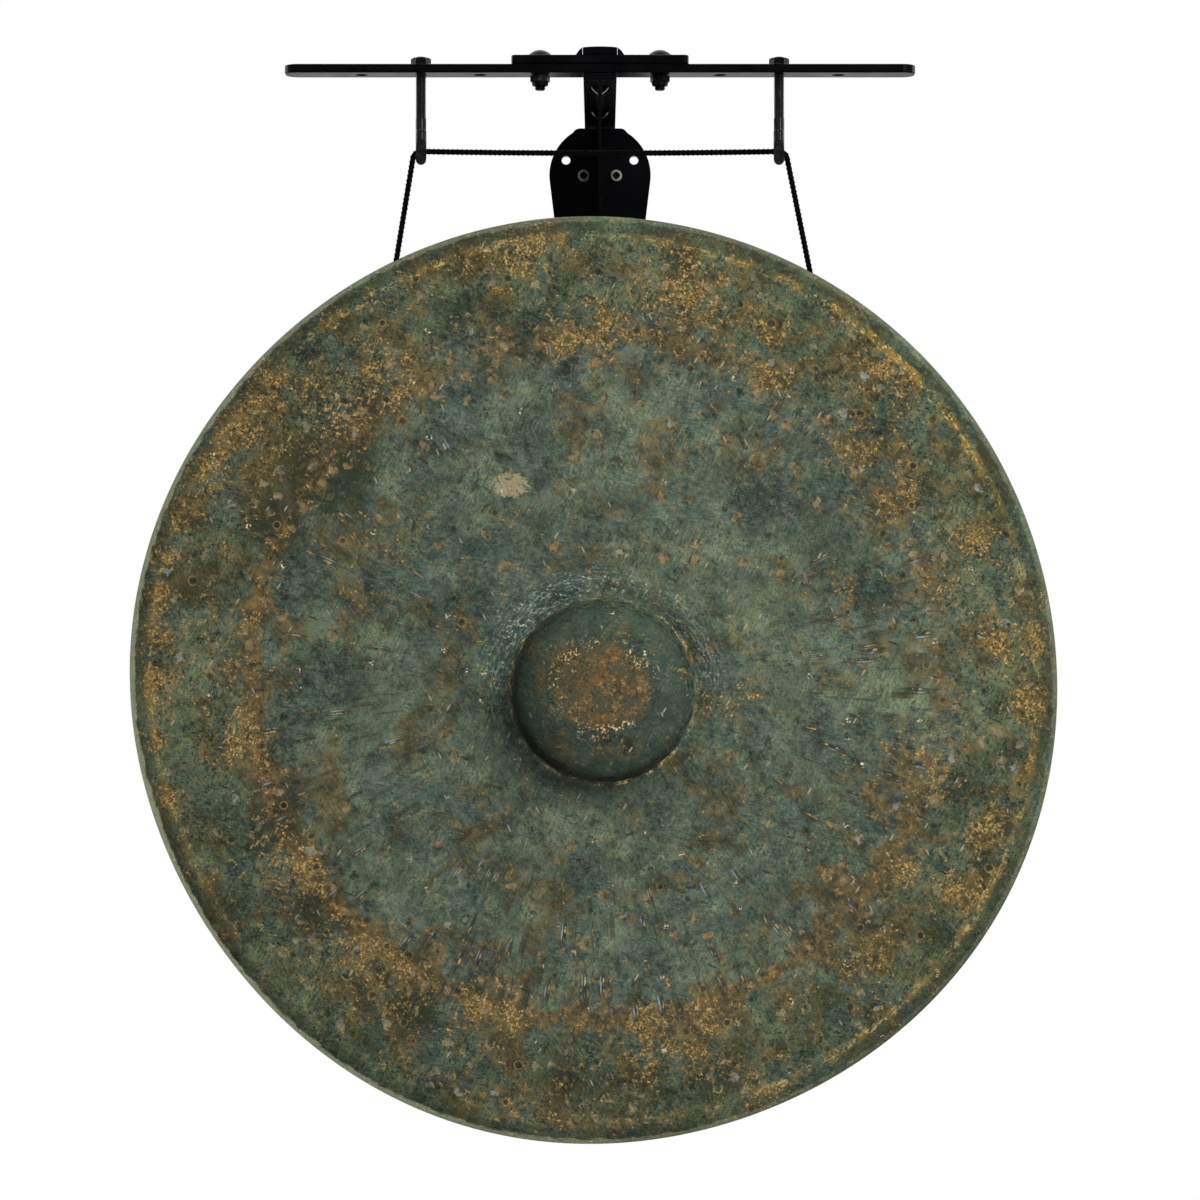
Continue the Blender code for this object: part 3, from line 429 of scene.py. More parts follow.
# %% Blacken the fasteners
def blackened_steel(name, dark, pale, roughness, streaks):
    """Oxidised steel. Noise that is long along Z gives the drawn rod its streaks."""
    finish, tree, surface = new_finish(name)
    place = add(tree, "TexCoord", out="Object")
    drawn = add(tree, "Mapping", {0: place, "Scale": (1.0, 1.0, streaks)})
    inputs = {0: drawn, "Scale": 1 / 0.0022, "Detail": 6.0, "Roughness": 0.65}
    mottle = add(tree, "TexNoise", inputs)
    grit = add(tree, "TexNoise", {0: place, "Scale": 1 / 0.0008, "Detail": 2.0})
    stops = [(0.35, dark), (0.6, dark), (0.72, pale)]
    colour = add(tree, "ValToRGB", {0: mottle}, stops=stops)
    inputs = {0: mottle, 1: 0.3, 2: 0.7, 3: roughness + 0.1, 4: roughness - 0.1}
    rough = add(tree, "MapRange", inputs)
    relief = add(tree, "Bump", {"Height": grit, "Distance": 0.0001, "Strength": 0.5})
    inputs = {"Base Color": colour, "Metallic": 0.9, "Roughness": rough, "Normal": relief}
    steel = add(tree, "BsdfPrincipled", inputs)
    tree.links.new(steel, surface)
    return finish


oxide_black = blackened_steel("black oxide on steel", "#303135", "#8A8B8E", 0.40, 1.0)
rod_black = blackened_steel("black oxide on drawn rod", "#5E5F62", "#D0D1D4", 0.20, 0.15)
oiled_black = blackened_steel("oiled black oxide", "#26272A", "#8A8B8E", 0.24, 1.0)

black_nylon, tree, surface = new_finish("moulded black nylon")
place = add(tree, "TexCoord", out="Object")
mottle = add(tree, "TexNoise", {0: place, "Scale": 1 / 0.002})
tint = add(tree, "ValToRGB", {0: mottle}, stops=[(0.3, "#1C1D20"), (0.7, "#27282C")])
nylon = add(tree, "BsdfPrincipled", {"Base Color": tint, "Roughness": 0.45, "IOR": 1.53})
tree.links.new(nylon, surface)

FASTENER_FINISHES = {
    "carriage_bolt": oiled_black,
    "lock_nut": oxide_black,
    "hook_nut": oxide_black,
    "j_hook": oxide_black,
    "lock_ring": black_nylon,
}
for start, finish in FASTENER_FINISHES.items():
    for name in solids:
        if name.startswith(start):
            for slot in solids[name].material_slots:
                slot.material = finish
print("finished:", list(FASTENER_FINISHES))

# %% [markdown]
# The foot screws are plated with zinc, which has gone dull under a chalky film of its own
# oxide. So the film is bright and rough, and only partly a metal. Each pan head has a
# cross recess: four wings round a deep middle, painted dark as shade. The solid's recess
# is plainer, so these screws replace it, in the same place and size.

# %% Turn the foot screws
RECESS_RADIUS, RECESS_WING, RECESS_DEPTH = 0.0024, 0.0008, 0.0019
HEAD_HEIGHT = 0.0030
SHANK_RADIUS = 0.0024
SCREW_SIDES = 48
# Shares of the recess's and the head's radius, each with a depth below the crown.
RECESS_PROFILE = [(0.02, RECESS_DEPTH), (0.5, RECESS_DEPTH), (0.86, 0.00133), (0.98, 0.0001)]
HEAD_PROFILE = [(0.70, 0.0), (0.86, 0.0002), (0.96, 0.0008), (1.0, 0.0018), (1.0, HEAD_HEIGHT)]


def foot_screw(name, low, high):
    """A pan-head screw that fills a box, with its head towards -Y."""
    middle_x, middle_z = (low[0] + high[0]) / 2, (low[2] + high[2]) / 2
    head = high[0] - middle_x
    angles = np.linspace(0, 2 * np.pi, SCREW_SIDES, endpoint=False)
    recess = RECESS_RADIUS + RECESS_WING * ((1 + np.cos(4 * angles)) / 2) ** 3
    rings = [(share * recess, depth) for share, depth in RECESS_PROFILE]
    rings += [(share * head, depth) for share, depth in HEAD_PROFILE]
    rings += [(SHANK_RADIUS, HEAD_HEIGHT), (SHANK_RADIUS, high[1] - low[1])]
    places = []
    for radius, depth in rings:
        x, z = middle_x + radius * np.cos(angles), middle_z + radius * np.sin(angles)
        places.append(np.stack([x, low[1] + depth + 0 * angles, z], 1))
    faces = [face[::-1] for face in tube_faces(len(rings), SCREW_SIDES, 0)]
    screw = make_piece(name, np.concatenate(places), faces, smooth=False)
    # Painted shade: the recess's rings are marked, and the finish darkens them.
    recess_shade = np.zeros((len(rings), SCREW_SIDES), np.float32)
    recess_shade[: len(RECESS_PROFILE)] = 1
    screw.data.attributes.new("recess_shade", "FLOAT", "POINT")
    screw.data.attributes["recess_shade"].data.foreach_set("value", recess_shade.ravel())
    return screw


dull_zinc, tree, surface = new_finish("dull zinc plate")
place = add(tree, "TexCoord", out="Object")
film = add(tree, "TexNoise", {0: place, "Scale": 1 / 0.0012, "Detail": 4.0})
chalk = add(tree, "ValToRGB", {0: film}, stops=[(0.35, "#8E8E84"), (0.65, "#C4C3B6")])
# Painted shade: the recess is darkened, standing in for the shade inside it.
recess_shade = add(tree, "Attribute", out="Fac", attribute_name="recess_shade")
inputs = {0: recess_shade, 6: chalk, 7: linear("#161614")}
chalk = add(tree, "Mix", inputs, out=2, data_type="RGBA")
relief = add(tree, "Bump", {"Height": film, "Distance": 0.00005})
inputs = {"Base Color": chalk, "Metallic": 0.4, "Roughness": 0.5, "Normal": relief}
zinc = add(tree, "BsdfPrincipled", inputs)
tree.links.new(zinc, surface)
screws = [name for name in solids if name.startswith("foot_screw")]
for name in screws:
    low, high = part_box(name)
    screw = foot_screw("recessed_" + name, low, high)
    screw.data.materials.append(dull_zinc)
    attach(screw, "holder")
    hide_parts(name)
print("screws:", screws)

# %% [markdown]
# Each hook is a drawn steel rod, threaded along its upper part and bent into a J. The
# nut on top holds it in the bar. The solid is a plain rod, so this one replaces it with
# a real thread, cut as a spiral groove, on the same centre line.

# %% Turn the hooks with their thread
HOOK_OUT = 0.130
BAR_DEPTH = -0.250
HOOK_TOP = 0.05552
BEND_RADIUS = 0.0135
BEND_HEIGHT = -0.0072
TIP_LENGTH = 0.0060
HOOK_TURN = math.radians(3)
THREAD_PITCH = 0.00125
THREAD_DEPTH = 0.00055
THREAD_END = 0.0107
CREST_SHARE, FLANK_SHARE = 0.12, 0.76
TOP_CHAMFER = 0.0006
CHAMFER_HEIGHT = 0.0007
ROD_SIDES = 28
ROD_ANGLES = np.linspace(0, 2 * np.pi, ROD_SIDES, endpoint=False)


def threaded_rings(top, bottom, cut_until, radius):
    """Rings of points down a rod, with a spiral groove as far as cut_until."""
    heights = np.linspace(top, bottom, int((top - bottom) / (THREAD_PITCH / 7)))[:, None]
    turn = (heights / THREAD_PITCH - ROD_ANGLES / (2 * np.pi)) % 1
    groove = np.clip((abs(2 * turn - 1) - CREST_SHARE) / FLANK_SHARE, 0, 1)
    cut = np.clip((heights - cut_until) / THREAD_PITCH, 0, 1)
    chamfer = TOP_CHAMFER * (1 - np.clip((top - heights) / CHAMFER_HEIGHT, 0, 1))
    rings = np.minimum(radius - THREAD_DEPTH * groove * cut, radius - chamfer)
    x, y = rings * np.cos(ROD_ANGLES), rings * np.sin(ROD_ANGLES)
    return np.stack([x, y, np.repeat(heights, ROD_SIDES, 1)], 2)


def bent_rings(radius):
    """Rings of points round the hook's bend and along its tip, which closes at the end."""
    stations = [(math.pi * share, 0.0, 1.0) for share in np.linspace(0, 1, 41)[1:]]
    stations += [(math.pi, TIP_LENGTH * share, 1.0) for share in (0.3, 0.6, 0.9)]
    stations += [(math.pi, TIP_LENGTH, 0.93), (math.pi, TIP_LENGTH, 0.0)]
    rings = []
    for bend, beyond, share in stations:
        reach = radius * share * np.sin(ROD_ANGLES)
        y = reach * math.cos(bend) - BEND_RADIUS * (1 - math.cos(bend))
        z = reach * math.sin(bend) + BEND_HEIGHT - BEND_RADIUS * math.sin(bend) + beyond
        rings.append(np.stack([radius * share * np.cos(ROD_ANGLES), y, z], 1))
    return rings


for side, way in (("left", -1), ("right", 1)):
    straight = threaded_rings(HOOK_TOP, BEND_HEIGHT, THREAD_END, ROD_RADIUS)
    rings = np.array(list(straight) + bent_rings(ROD_RADIUS))
    turn = -way * HOOK_TURN
    x = rings[..., 0] * math.cos(turn) - rings[..., 1] * math.sin(turn)
    y = rings[..., 0] * math.sin(turn) + rings[..., 1] * math.cos(turn)
    rings[..., 0] = x + way * HOOK_OUT
    rings[..., 1] = y + BAR_DEPTH
    faces = tube_faces(len(rings), ROD_SIDES, 0)
    hook = make_piece("threaded_hook_" + side, rings.reshape(-1, 3), faces)
    hook.data.materials.append(rod_black)
    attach(hook, "holder")
    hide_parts("j_hook_" + side)
    print(hook.name, len(hook.data.polygons), "faces")

# %% [markdown]
# The gong is one sheet of bronze, cast as a thick disc and hammered out by many hands:
# a domed boss, a raised collar round it, a broad field, a punched trough, an outer band
# and a deep rim. Its section is turned round the middle first. The boss then moves
# aside and the outline goes slightly out of round, as in the hand-made original.

# %% Draw the gong's section
GONG_RADIUS = 0.3343
GONG_WALL = 0.003
GONG_ASIDE = -0.0041
GONG_HEIGHT = -0.396
RIM_DEPTH, RIM_DRAW_IN, LIP_ROUNDING = 0.090, 0.014, 0.0006
SHOULDER_WIDTH, SHOULDER_DEPTH = 0.018, 0.017
ANNULUS_FALL = 0.0025
TROUGH_RADIUS, TROUGH_HALF_WIDTH, TROUGH_DEPTH = 0.247, 0.010, 0.0010
FIELD_DISH = 0.0012
COLLAR_RADIUS, COLLAR_HALF_WIDTH, COLLAR_RISE = 0.079, 0.0105, 0.0024
BOSS_RADIUS, BOSS_HEIGHT, BOSS_FULLNESS = 0.065, 0.042, 0.72
GROOVE_HALF_WIDTH, GROOVE_DEPTH = 0.0015, 0.0010
BOSS_ASIDE, BOSS_DOWN = 0.0063, 0.0080
OUTLINE_WAVES = ((2, 0.0015, -45), (4, 0.0009, -17), (5, 0.0006, 36))
GONG_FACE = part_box("gong")[0][1] + BOSS_HEIGHT
SHOULDER_START = GONG_RADIUS - SHOULDER_WIDTH
FIELD_START = COLLAR_RADIUS + COLLAR_HALF_WIDTH
FIELD_END = TROUGH_RADIUS - TROUGH_HALF_WIDTH
BAND_START = TROUGH_RADIUS + TROUGH_HALF_WIDTH


def eased(value, start, end):
    """0 at start and 1 at end, with no kink at either."""
    share = np.clip((value - start) / (end - start), 0, 1)
    return share * share * (3 - 2 * share)


def face_depth(radius):
    """How far behind the face's plane the metal lies, from the middle to the edge."""
    radius = np.asarray(radius, float)
    share = np.clip(radius / BOSS_RADIUS, 0, 1) ** (1 / BOSS_FULLNESS)
    boss = -BOSS_HEIGHT * np.sqrt(1 - share**2) ** BOSS_FULLNESS
    from_foot = (radius - BOSS_RADIUS - GROOVE_HALF_WIDTH) / GROOVE_HALF_WIDTH
    groove = GROOVE_DEPTH * np.exp(-(from_foot**2) / 1.2) * (radius > 0.9 * BOSS_RADIUS)
    away = np.clip((radius - COLLAR_RADIUS) / COLLAR_HALF_WIDTH, -1, 1)
    collar = -COLLAR_RISE * (1 + np.cos(np.pi * away)) / 2
    share = np.clip((radius - FIELD_START) / (FIELD_END - FIELD_START), 0, 1)
    dish = FIELD_DISH * np.sin(np.pi * share)
    away = np.clip((radius - TROUGH_RADIUS) / TROUGH_HALF_WIDTH, -1, 1)
    trough = TROUGH_DEPTH * (1 + np.cos(np.pi * away)) / 2
    share = np.clip((radius - BAND_START) / (SHOULDER_START - BAND_START), 0, 1)
    fall = ANNULUS_FALL * share**1.7
    turned = np.clip((radius - SHOULDER_START) / SHOULDER_WIDTH, 0, 1)
    shoulder = SHOULDER_DEPTH * (1 - np.sqrt(1 - turned**2))
    return boss + groove + collar + dish + trough + fall + shoulder


print("boss stands", BOSS_HEIGHT, "m proud, face plane at y =", round(GONG_FACE, 5))

# %% [markdown]
# Rings of points carry the section round. The count of points in a ring halves towards
# the middle, so that the faces stay about two millimetres wide all over the front. The
# back is seen less closely and gets larger faces. It follows the front at the sheet's
# thickness, with two rings of its own where it turns into the boss.

# %% Set out the rings
FINE_STEP = 0.0023
BACK_STEP = 0.006
MOST_AROUND = 880
FEWEST_AROUND = 28
BACK_CORNER = [(BOSS_RADIUS + 0.0005, 0.0040), (BOSS_RADIUS - 0.0020, 0.0022)]
HALF, QUARTER = MOST_AROUND // 2, MOST_AROUND // 4


def around(radius, most):
    """Points in a ring: halved as often as the faces stay narrow enough."""
    widest = 1.06 * FINE_STEP * MOST_AROUND / most
    count = most
    while count > FEWEST_AROUND and 4 * math.pi * radius / count < widest:
        count //= 2
    return count


# Each ring is its radius, its depth, its count of points, and 1 where it is in front.
rings = []
for radius in np.arange(FINE_STEP, SHOULDER_START, FINE_STEP):
    rings.append((radius, face_depth(radius), around(radius, MOST_AROUND), 1.0))
for bend in np.linspace(0, math.pi / 2, 10):
    depth = ANNULUS_FALL + SHOULDER_DEPTH * (1 - math.cos(bend))
    rings.append((SHOULDER_START + SHOULDER_WIDTH * math.sin(bend), depth, MOST_AROUND, 1.0))
rim_start = ANNULUS_FALL + SHOULDER_DEPTH
for share in np.linspace(0, 1, 21)[1:]:
    count = HALF if share > 0.1 else MOST_AROUND
    depth = rim_start + share * (RIM_DEPTH - rim_start)
    rings.append((GONG_RADIUS - RIM_DRAW_IN * share**1.3, depth, count, 1.0))
lip = GONG_RADIUS - RIM_DRAW_IN
rings.append((lip - LIP_ROUNDING, RIM_DEPTH, HALF, 0.6))
rings.append((lip - GONG_WALL + LIP_ROUNDING, RIM_DEPTH, HALF, 0.4))
for share in np.linspace(1, 0, 15):
    radius = GONG_RADIUS - GONG_WALL - RIM_DRAW_IN * share**1.3
    depth = rim_start + GONG_WALL + share * (RIM_DEPTH - rim_start - GONG_WALL)
    rings.append((radius, depth, QUARTER if share < 0.9 else HALF, 0.0))
for bend in np.linspace(math.pi / 2, 0, 6)[1:]:
    radius = SHOULDER_START + (SHOULDER_WIDTH - GONG_WALL) * math.sin(bend)
    depth = ANNULUS_FALL + GONG_WALL + (SHOULDER_DEPTH - GONG_WALL) * (1 - math.cos(bend))
    rings.append((radius, depth, QUARTER, 0.0))
for radius in np.arange(SHOULDER_START - BACK_STEP, BOSS_RADIUS, -BACK_STEP):
    rings.append((radius, face_depth(radius) + GONG_WALL, around(radius, QUARTER), 0.0))
for radius, depth in BACK_CORNER:
    rings.append((radius, depth, around(radius, QUARTER), 0.0))
inner_boss = BOSS_RADIUS - GONG_WALL
for radius in np.linspace(inner_boss - 0.0002, 0.004, 16):
    depth = face_depth(radius * BOSS_RADIUS / inner_boss) * (BOSS_HEIGHT - GONG_WALL) / BOSS_HEIGHT
    depth += GONG_WALL * (radius > 0.9 * inner_boss)
    rings.append((radius, depth, around(radius, QUARTER), 0.0))
for index in range(1, len(rings)):
    radius, depth, count, outside = rings[index]
    before = rings[index - 1][2]
    if count not in (before, before // 2, before * 2):
        rings[index] = (radius, depth, before // 2 if count < before else before * 2, outside)
print(len(rings), "rings, counts", sorted({count for _, _, count, _ in rings}))

# %% [markdown]
# A hammered sheet is never even. Slow swells come from adding a few dozen waves that
# run in chance directions. The same seed always gives the same gong.

# %% Raise the hammered swells
SLOW_SWELL = 0.00035
QUICK_SWELL, QUICK_SWELL_BAND = 0.00006, 0.00011
chance = np.random.default_rng(21)


def swells(places, wavelength, waves=48):
    """A smooth random height over a plane, mostly between -2 and 2."""
    heading = chance.uniform(0, 2 * np.pi, waves)
    length = wavelength * chance.uniform(0.7, 1.5, waves)
    shift = chance.uniform(0, 2 * np.pi, waves)
    height = np.zeros(len(places))
    for turn, size, offset in zip(heading, length, shift):
        run = places[:, 0] * math.cos(turn) + places[:, 1] * math.sin(turn)
        height += np.cos(2 * np.pi * run / size + offset)
    return height / math.sqrt(waves / 2)


counts = [count for _, _, count, _ in rings]
starts = np.cumsum([0] + counts)[:-1].tolist()
total = sum(counts)
middle_front, middle_back = total, total + 1
middles = [(0, -BOSS_HEIGHT, 1, 1.0), (0, GONG_WALL - BOSS_HEIGHT, 1, 0.0)]
nominal, depths, fronts = (
    np.repeat([ring[part] for ring in rings + middles], counts + [1, 1]) for part in (0, 1, 3)
)
turning = np.concatenate([2 * np.pi * np.arange(count) / count for count in counts + [1, 1]])
toward_boss = eased(nominal, FIELD_END, FIELD_START)
toward_edge = eased(nominal, FIELD_END, SHOULDER_START)
outline = 0
for lobes, height, crest in OUTLINE_WAVES:
    outline = outline + height * np.cos(lobes * (turning - math.radians(crest)))
reach = nominal + toward_edge * outline
across = reach * np.cos(turning) + BOSS_ASIDE * toward_boss
upward = reach * np.sin(turning) - BOSS_DOWN * toward_boss
flat = np.stack([across, upward], 1)
on_face = 1 - eased(nominal, SHOULDER_START - 0.004, GONG_RADIUS)
off_boss = eased(nominal, 0.088, 0.115)
on_band = eased(nominal, 0.235, 0.262)
slow, quick = swells(flat, 0.075), swells(flat, 0.024)
quick_share = QUICK_SWELL + QUICK_SWELL_BAND * on_band
relief = on_face * (SLOW_SWELL * off_boss * slow + quick_share * off_boss * quick)
depths += relief
print("swells up to", round(1000 * np.abs(relief).max(), 2), "mm")

# %% [markdown]
# Small round dimples were punched all over the outer band, close together in the
# trough, and here and there on the field. Each point of the sheet looks up its nearest
# dimple. It keeps the way to that dimple's middle as well, so that the patina can ring
# each dimple exactly where the metal dips.

# %% Punch the dimples
DIMPLE_RADIUS = 0.0034
DIMPLE_DEPTH = 0.00042
DIMPLE_REACH = 0.0050
DIMPLE_SPACING = 0.0104
CELL_WIDTH = 0.0105
FRONT_DEPTH = 0.012
# From radius, to radius, how many, how strong.
DIMPLE_ZONES = [(0.095, 0.225, 170, 0.8), (0.228, 0.262, 290, 1.0), (0.262, 0.316, 480, 0.9)]
random.seed(5)
dimples, taken = [], {}
for inner, outer, wanted, strength in DIMPLE_ZONES:
    made = tries = 0
    while made < wanted and tries < 40 * wanted:
        tries += 1
        radius = math.sqrt(random.uniform(inner**2, outer**2))
        angle = random.uniform(0, 2 * math.pi)
        x, z = radius * math.cos(angle), radius * math.sin(angle)
        column, row = round(x / CELL_WIDTH), round(z / CELL_WIDTH)
        near = [taken.get((column + i, row + j)) for i in (-1, 0, 1) for j in (-1, 0, 1)]
        if any(other and math.dist((x, z), other) < DIMPLE_SPACING for other in near):
            continue
        taken[column, row] = (x, z)
        size = random.uniform(0.75, 1.15)
        dimples.append((x, z, size, strength * random.uniform(0.4, 1.0), random.random()))
        made += 1
tree_of_dimples = kdtree.KDTree(len(dimples))
for index, (x, z, *_) in enumerate(dimples):
    tree_of_dimples.insert((x, z, 0), index)
tree_of_dimples.balance()
to_dimple = np.full((len(depths), 3), 9.0)
plain = np.stack([nominal * np.cos(turning), nominal * np.sin(turning)], 1)
for index in np.flatnonzero((fronts >= 0.9) & (depths <= FRONT_DEPTH)):
    across, upward = plain[index]
    (x, z, _), found, distance = tree_of_dimples.find((across, upward, 0))
    size, strength, luck = dimples[found][2:]
    radius = DIMPLE_RADIUS * size
    if distance < DIMPLE_REACH:
        to_dimple[index] = ((across - x) / radius, (upward - z) / radius, luck)
        share = min(distance / radius, 1.6)
        cup = math.cos(min(share, 1) * math.pi / 2) ** 2
        lip_height = 0.18 * math.exp(-(((share - 1.15) / 0.2) ** 2))
        depths[index] += DIMPLE_DEPTH * strength * (cup - lip_height)
print(len(dimples), "dimples")

# %% [markdown]
# The points now become one closed sheet. Where two neighbouring rings hold the same
# count, quads join them. Where the count halves, three triangles close each gap.

# %% Join the rings into a sheet
faces = []
for many, few, start, after in zip(counts, counts[1:], starts, starts[1:]):
    for k in range(min(many, few)):
        n = (k + 1) % min(many, few)
        a, b, c = 2 * k, 2 * k + 1, (2 * k + 2) % max(many, few)
        if many == few:
            faces.append((start + k, start + n, after + n, after + k))
        elif many < few:
            faces.append((start + k, after + b, after + a))
            faces.append((start + k, start + n, after + b))
            faces.append((start + n, after + c, after + b))
        else:
            faces.append((start + a, start + b, after + k))
            faces.append((start + b, after + n, after + k))
            faces.append((start + b, start + c, after + n))
first, last, last_start = counts[0], counts[-1], starts[-1]
faces += [(middle_front, (k + 1) % first, k) for k in range(first)]
faces += [(middle_back, last_start + k, last_start + (k + 1) % last) for k in range(last)]
sheet = [GONG_ASIDE + flat[:, 0], GONG_FACE + depths, GONG_HEIGHT + flat[:, 1]]
gong = make_piece("bronze_gong", np.stack(sheet, 1), [face[::-1] for face in faces])
print("gong:", len(gong.data.vertices), "points,", len(gong.data.polygons), "faces")

# %% [markdown]
# The patina needs to know where on the sheet it is. The radius in millimetres, the side
# of the sheet, and the way to the nearest dimple are kept on the points, with a few
# soft masks: where the sheet has worn golden, where rust-brown crust sits, where strokes
# gather. The main patches were placed one by one: where, how wide, how strong.

# %% Keep the patina's guides on the sheet
GOLD_PLACES = [
    (-53, 308, 24, 0.9), (-35, 318, 16, 0.9), (-89, 299, 16, 0.5), (-17, 250, 24, 0.7),
    (12, 250, 24, 0.7), (40, 258, 22, 0.6), (69, 279, 30, 0.9), (76, 304, 16, 0.6),
    (119, 250, 18, 0.8), (122, 218, 12, 0.9), (205, 222, 14, 1.0), (222, 214, 14, 0.9),
    (183, 265, 14, 0.7), (147, 290, 12, 0.7), (-150, 222, 36, 0.6), (-189, 200, 30, 0.7),
    (-236, 207, 26, 0.7), (-254, 178, 22, 0.8), (-282, 150, 22, 0.8), (-297, 121, 16, 0.8),
    (-311, 86, 12, 0.9), (-311, 28, 14, 0.9), (-304, -10, 16, 0.7), (-254, -43, 18, 0.9),
    (-262, 20, 20, 0.4), (-218, -136, 20, 0.7), (-175, -200, 24, 0.7), (-139, -222, 22, 0.6),
    (-82, -237, 16, 1.0), (-68, -237, 20, 0.6), (40, -258, 22, 0.8), (76, -262, 22, 0.7),
    (-25, -308, 24, 0.5), (119, -301, 20, 0.9), (291, 28, 14, 1.1), (273, 100, 14, 1.0),
    (316, 28, 14, 0.9), (312, -15, 16, 0.8), (319, 57, 12, 0.8), (280, -108, 14, 1.0),
    (259, -151, 16, 1.0), (223, -136, 16, 0.7), (190, 171, 20, 0.8), (169, 57, 18, 0.4),
    (104, -15, 14, 0.8), (-154, 86, 20, 0.5), (-175, 57, 18, 0.4), (-60, 120, 12, 0.4),
    (225, 130, 20, 0.6), (250, 70, 20, 0.6), (236, -60, 26, 0.5), (200, -200, 22, 0.6),
    (-316, 0, 10, 1.2), (-313, -45, 9, 1.1), (-305, -85, 9, 1.0), (-313, 58, 10, 1.1),
]
DARK_PLACES = [
    (-186, 150, 40, 1.0), (-225, 110, 30, 0.9), (-160, 200, 24, 0.8), (-105, 262, 20, 0.6),
    (-232, -108, 26, 0.9), (-196, -165, 26, 0.9), (-125, -235, 26, 0.9), (-262, -160, 24, 0.7),
    (-160, -262, 24, 0.7), (-17, -290, 28, 0.8), (90, -285, 30, 0.8), (262, -79, 24, 0.8),
    (246, -185, 24, 0.7), (62, 300, 20, 0.8), (-290, 60, 16, 0.7), (150, 262, 16, 0.6),
    (290, -20, 14, 0.7), (30, -246, 14, 0.7), (-246, 40, 14, 0.5), (170, -230, 24, 0.6),
]
CHIPPED_X, CHIPPED_Z, CHIPPED_WIDTH, CHIPPED_HEIGHT = -59.7, 139.3, 13, 9.5
RUST_RADIUS, RUST_HALF_WIDTH = 0.2465, 0.0065
RUSTY_LUCK, RUSTY_WIDTH, RUSTY_REACH = 0.62, 0.008, 0.26
across, upward = 1000 * flat[:, 0], 1000 * flat[:, 1]


def patches(places):
    """How strongly each point lies in any of some soft round places."""
    found = np.zeros(total + 2)
    for x, z, width, strength in places:
        gap = ((across - x) ** 2 + (upward - z) ** 2) / width**2
        found = np.maximum(found, strength * np.exp(-gap / 1.3))
    return found


rusty = np.zeros(total + 2)
for x, z, size, strength, luck in dimples:
    if luck > RUSTY_LUCK and math.hypot(x, z) < RUSTY_REACH:
        gap = (plain[:, 0] - x) ** 2 + (plain[:, 1] - z) ** 2
        gap /= (RUSTY_WIDTH * size) ** 2
        rusty = np.maximum(rusty, np.exp(-gap))


def facing(degrees, spread):
    """1 where an angle round the gong is near a direction, falling to 0 beyond it."""
    gap = np.abs((np.degrees(turning) - degrees + 180) % 360 - 180)
    return np.exp(-((gap / spread) ** 2))


trough = np.exp(-(((nominal - RUST_RADIUS) / RUST_HALF_WIDTH) ** 2))
strokes_round = np.maximum(facing(190, 40), np.maximum(facing(265, 45), facing(350, 30)))
stroke_ring = eased(nominal, 0.09, 0.17) * (1 - eased(nominal, 0.238, 0.262))
chipped_x = ((across - CHIPPED_X) / CHIPPED_WIDTH) ** 2
chipped_z = ((upward - CHIPPED_Z) / CHIPPED_HEIGHT) ** 2
gold_edge = facing(46, 24) + 0.6 * facing(108, 22) + 0.5 * facing(315, 40)
guides = {
    "ring": 1000 * nominal,
    "front": fronts,
    "near_front": 1 - eased(depths, 0.020, 0.040),
    "gold": patches(GOLD_PLACES),
    "gloom": patches(DARK_PLACES),
    "rusty": rusty,
    "rust": trough * (0.2 + 0.8 * np.maximum(facing(212, 60), 0.7 * facing(290, 40))),
    "stroked": (0.5 + 0.5 * strokes_round) * stroke_ring,
    # Where the painted shade at the boss's foot lies, on the lower left and bottom.
    "crescent": np.maximum(facing(222, 48), 0.75 * facing(275, 40)),
    "foot_line": np.maximum(facing(140, 48), np.maximum(facing(285, 50), facing(40, 14))),
    "scuffed": np.maximum(facing(125, 62), 0.6 * facing(30, 40)),
    "gold_edge": gold_edge + 0.4 * facing(184, 30),
    # Where the lip's painted highlight is strongest, on the left.
    "pale_edge": np.maximum(facing(200, 75), 0.12),
    # Where the edge's painted shade is darkest, on the upper right.
    "green_edge": facing(45, 75),
    "chipped": np.exp(-chipped_x - chipped_z),
}
for name, values in guides.items():
    guide = gong.data.attributes.new(name, "FLOAT", "POINT")
    guide.data.foreach_set("value", values.astype(np.float32))
guide = gong.data.attributes.new("to_dimple", "FLOAT_VECTOR", "POINT")
guide.data.foreach_set("vector", to_dimple.astype(np.float32).ravel())
print("guides:", sorted(guides) + ["to_dimple"])

# %% [markdown]
# Old bronze turns green and brown. The patina is built up in layers, as a restorer
# would describe it: a cloudy blue-green ground, more olive on the outer band; a thin
# rust-brown glaze; grains of worn gold in the glaze; strokes of a scraper, pale, ochre
# and dark, running outward; stains; rings round the dimples; and bright flecks.

# %% Find the place on the sheet
patina, tree, surface = new_finish("hammered bronze with green patina")
place = add(tree, "TexCoord", out="Object")
middle = (GONG_ASIDE, 0, GONG_HEIGHT)
from_middle = add(tree, "VectorMath", {0: place, 1: middle}, operation="SUBTRACT")
# In millimetres, so that the scales below are real sizes.
spot = add(tree, "VectorMath", {0: from_middle, "Scale": 1000.0}, operation="SCALE")
guide = {name: add(tree, "Attribute", out="Fac", attribute_name=name) for name in guides}
print("guides read by the finish:", list(guide))

# %% [markdown]
# Clouds of noise give every layer its ragged shape. Each has its own size in
# millimetres, from slow changes over a hand's width down to single grains of crust. A
# shift keeps any two of them from lining up.

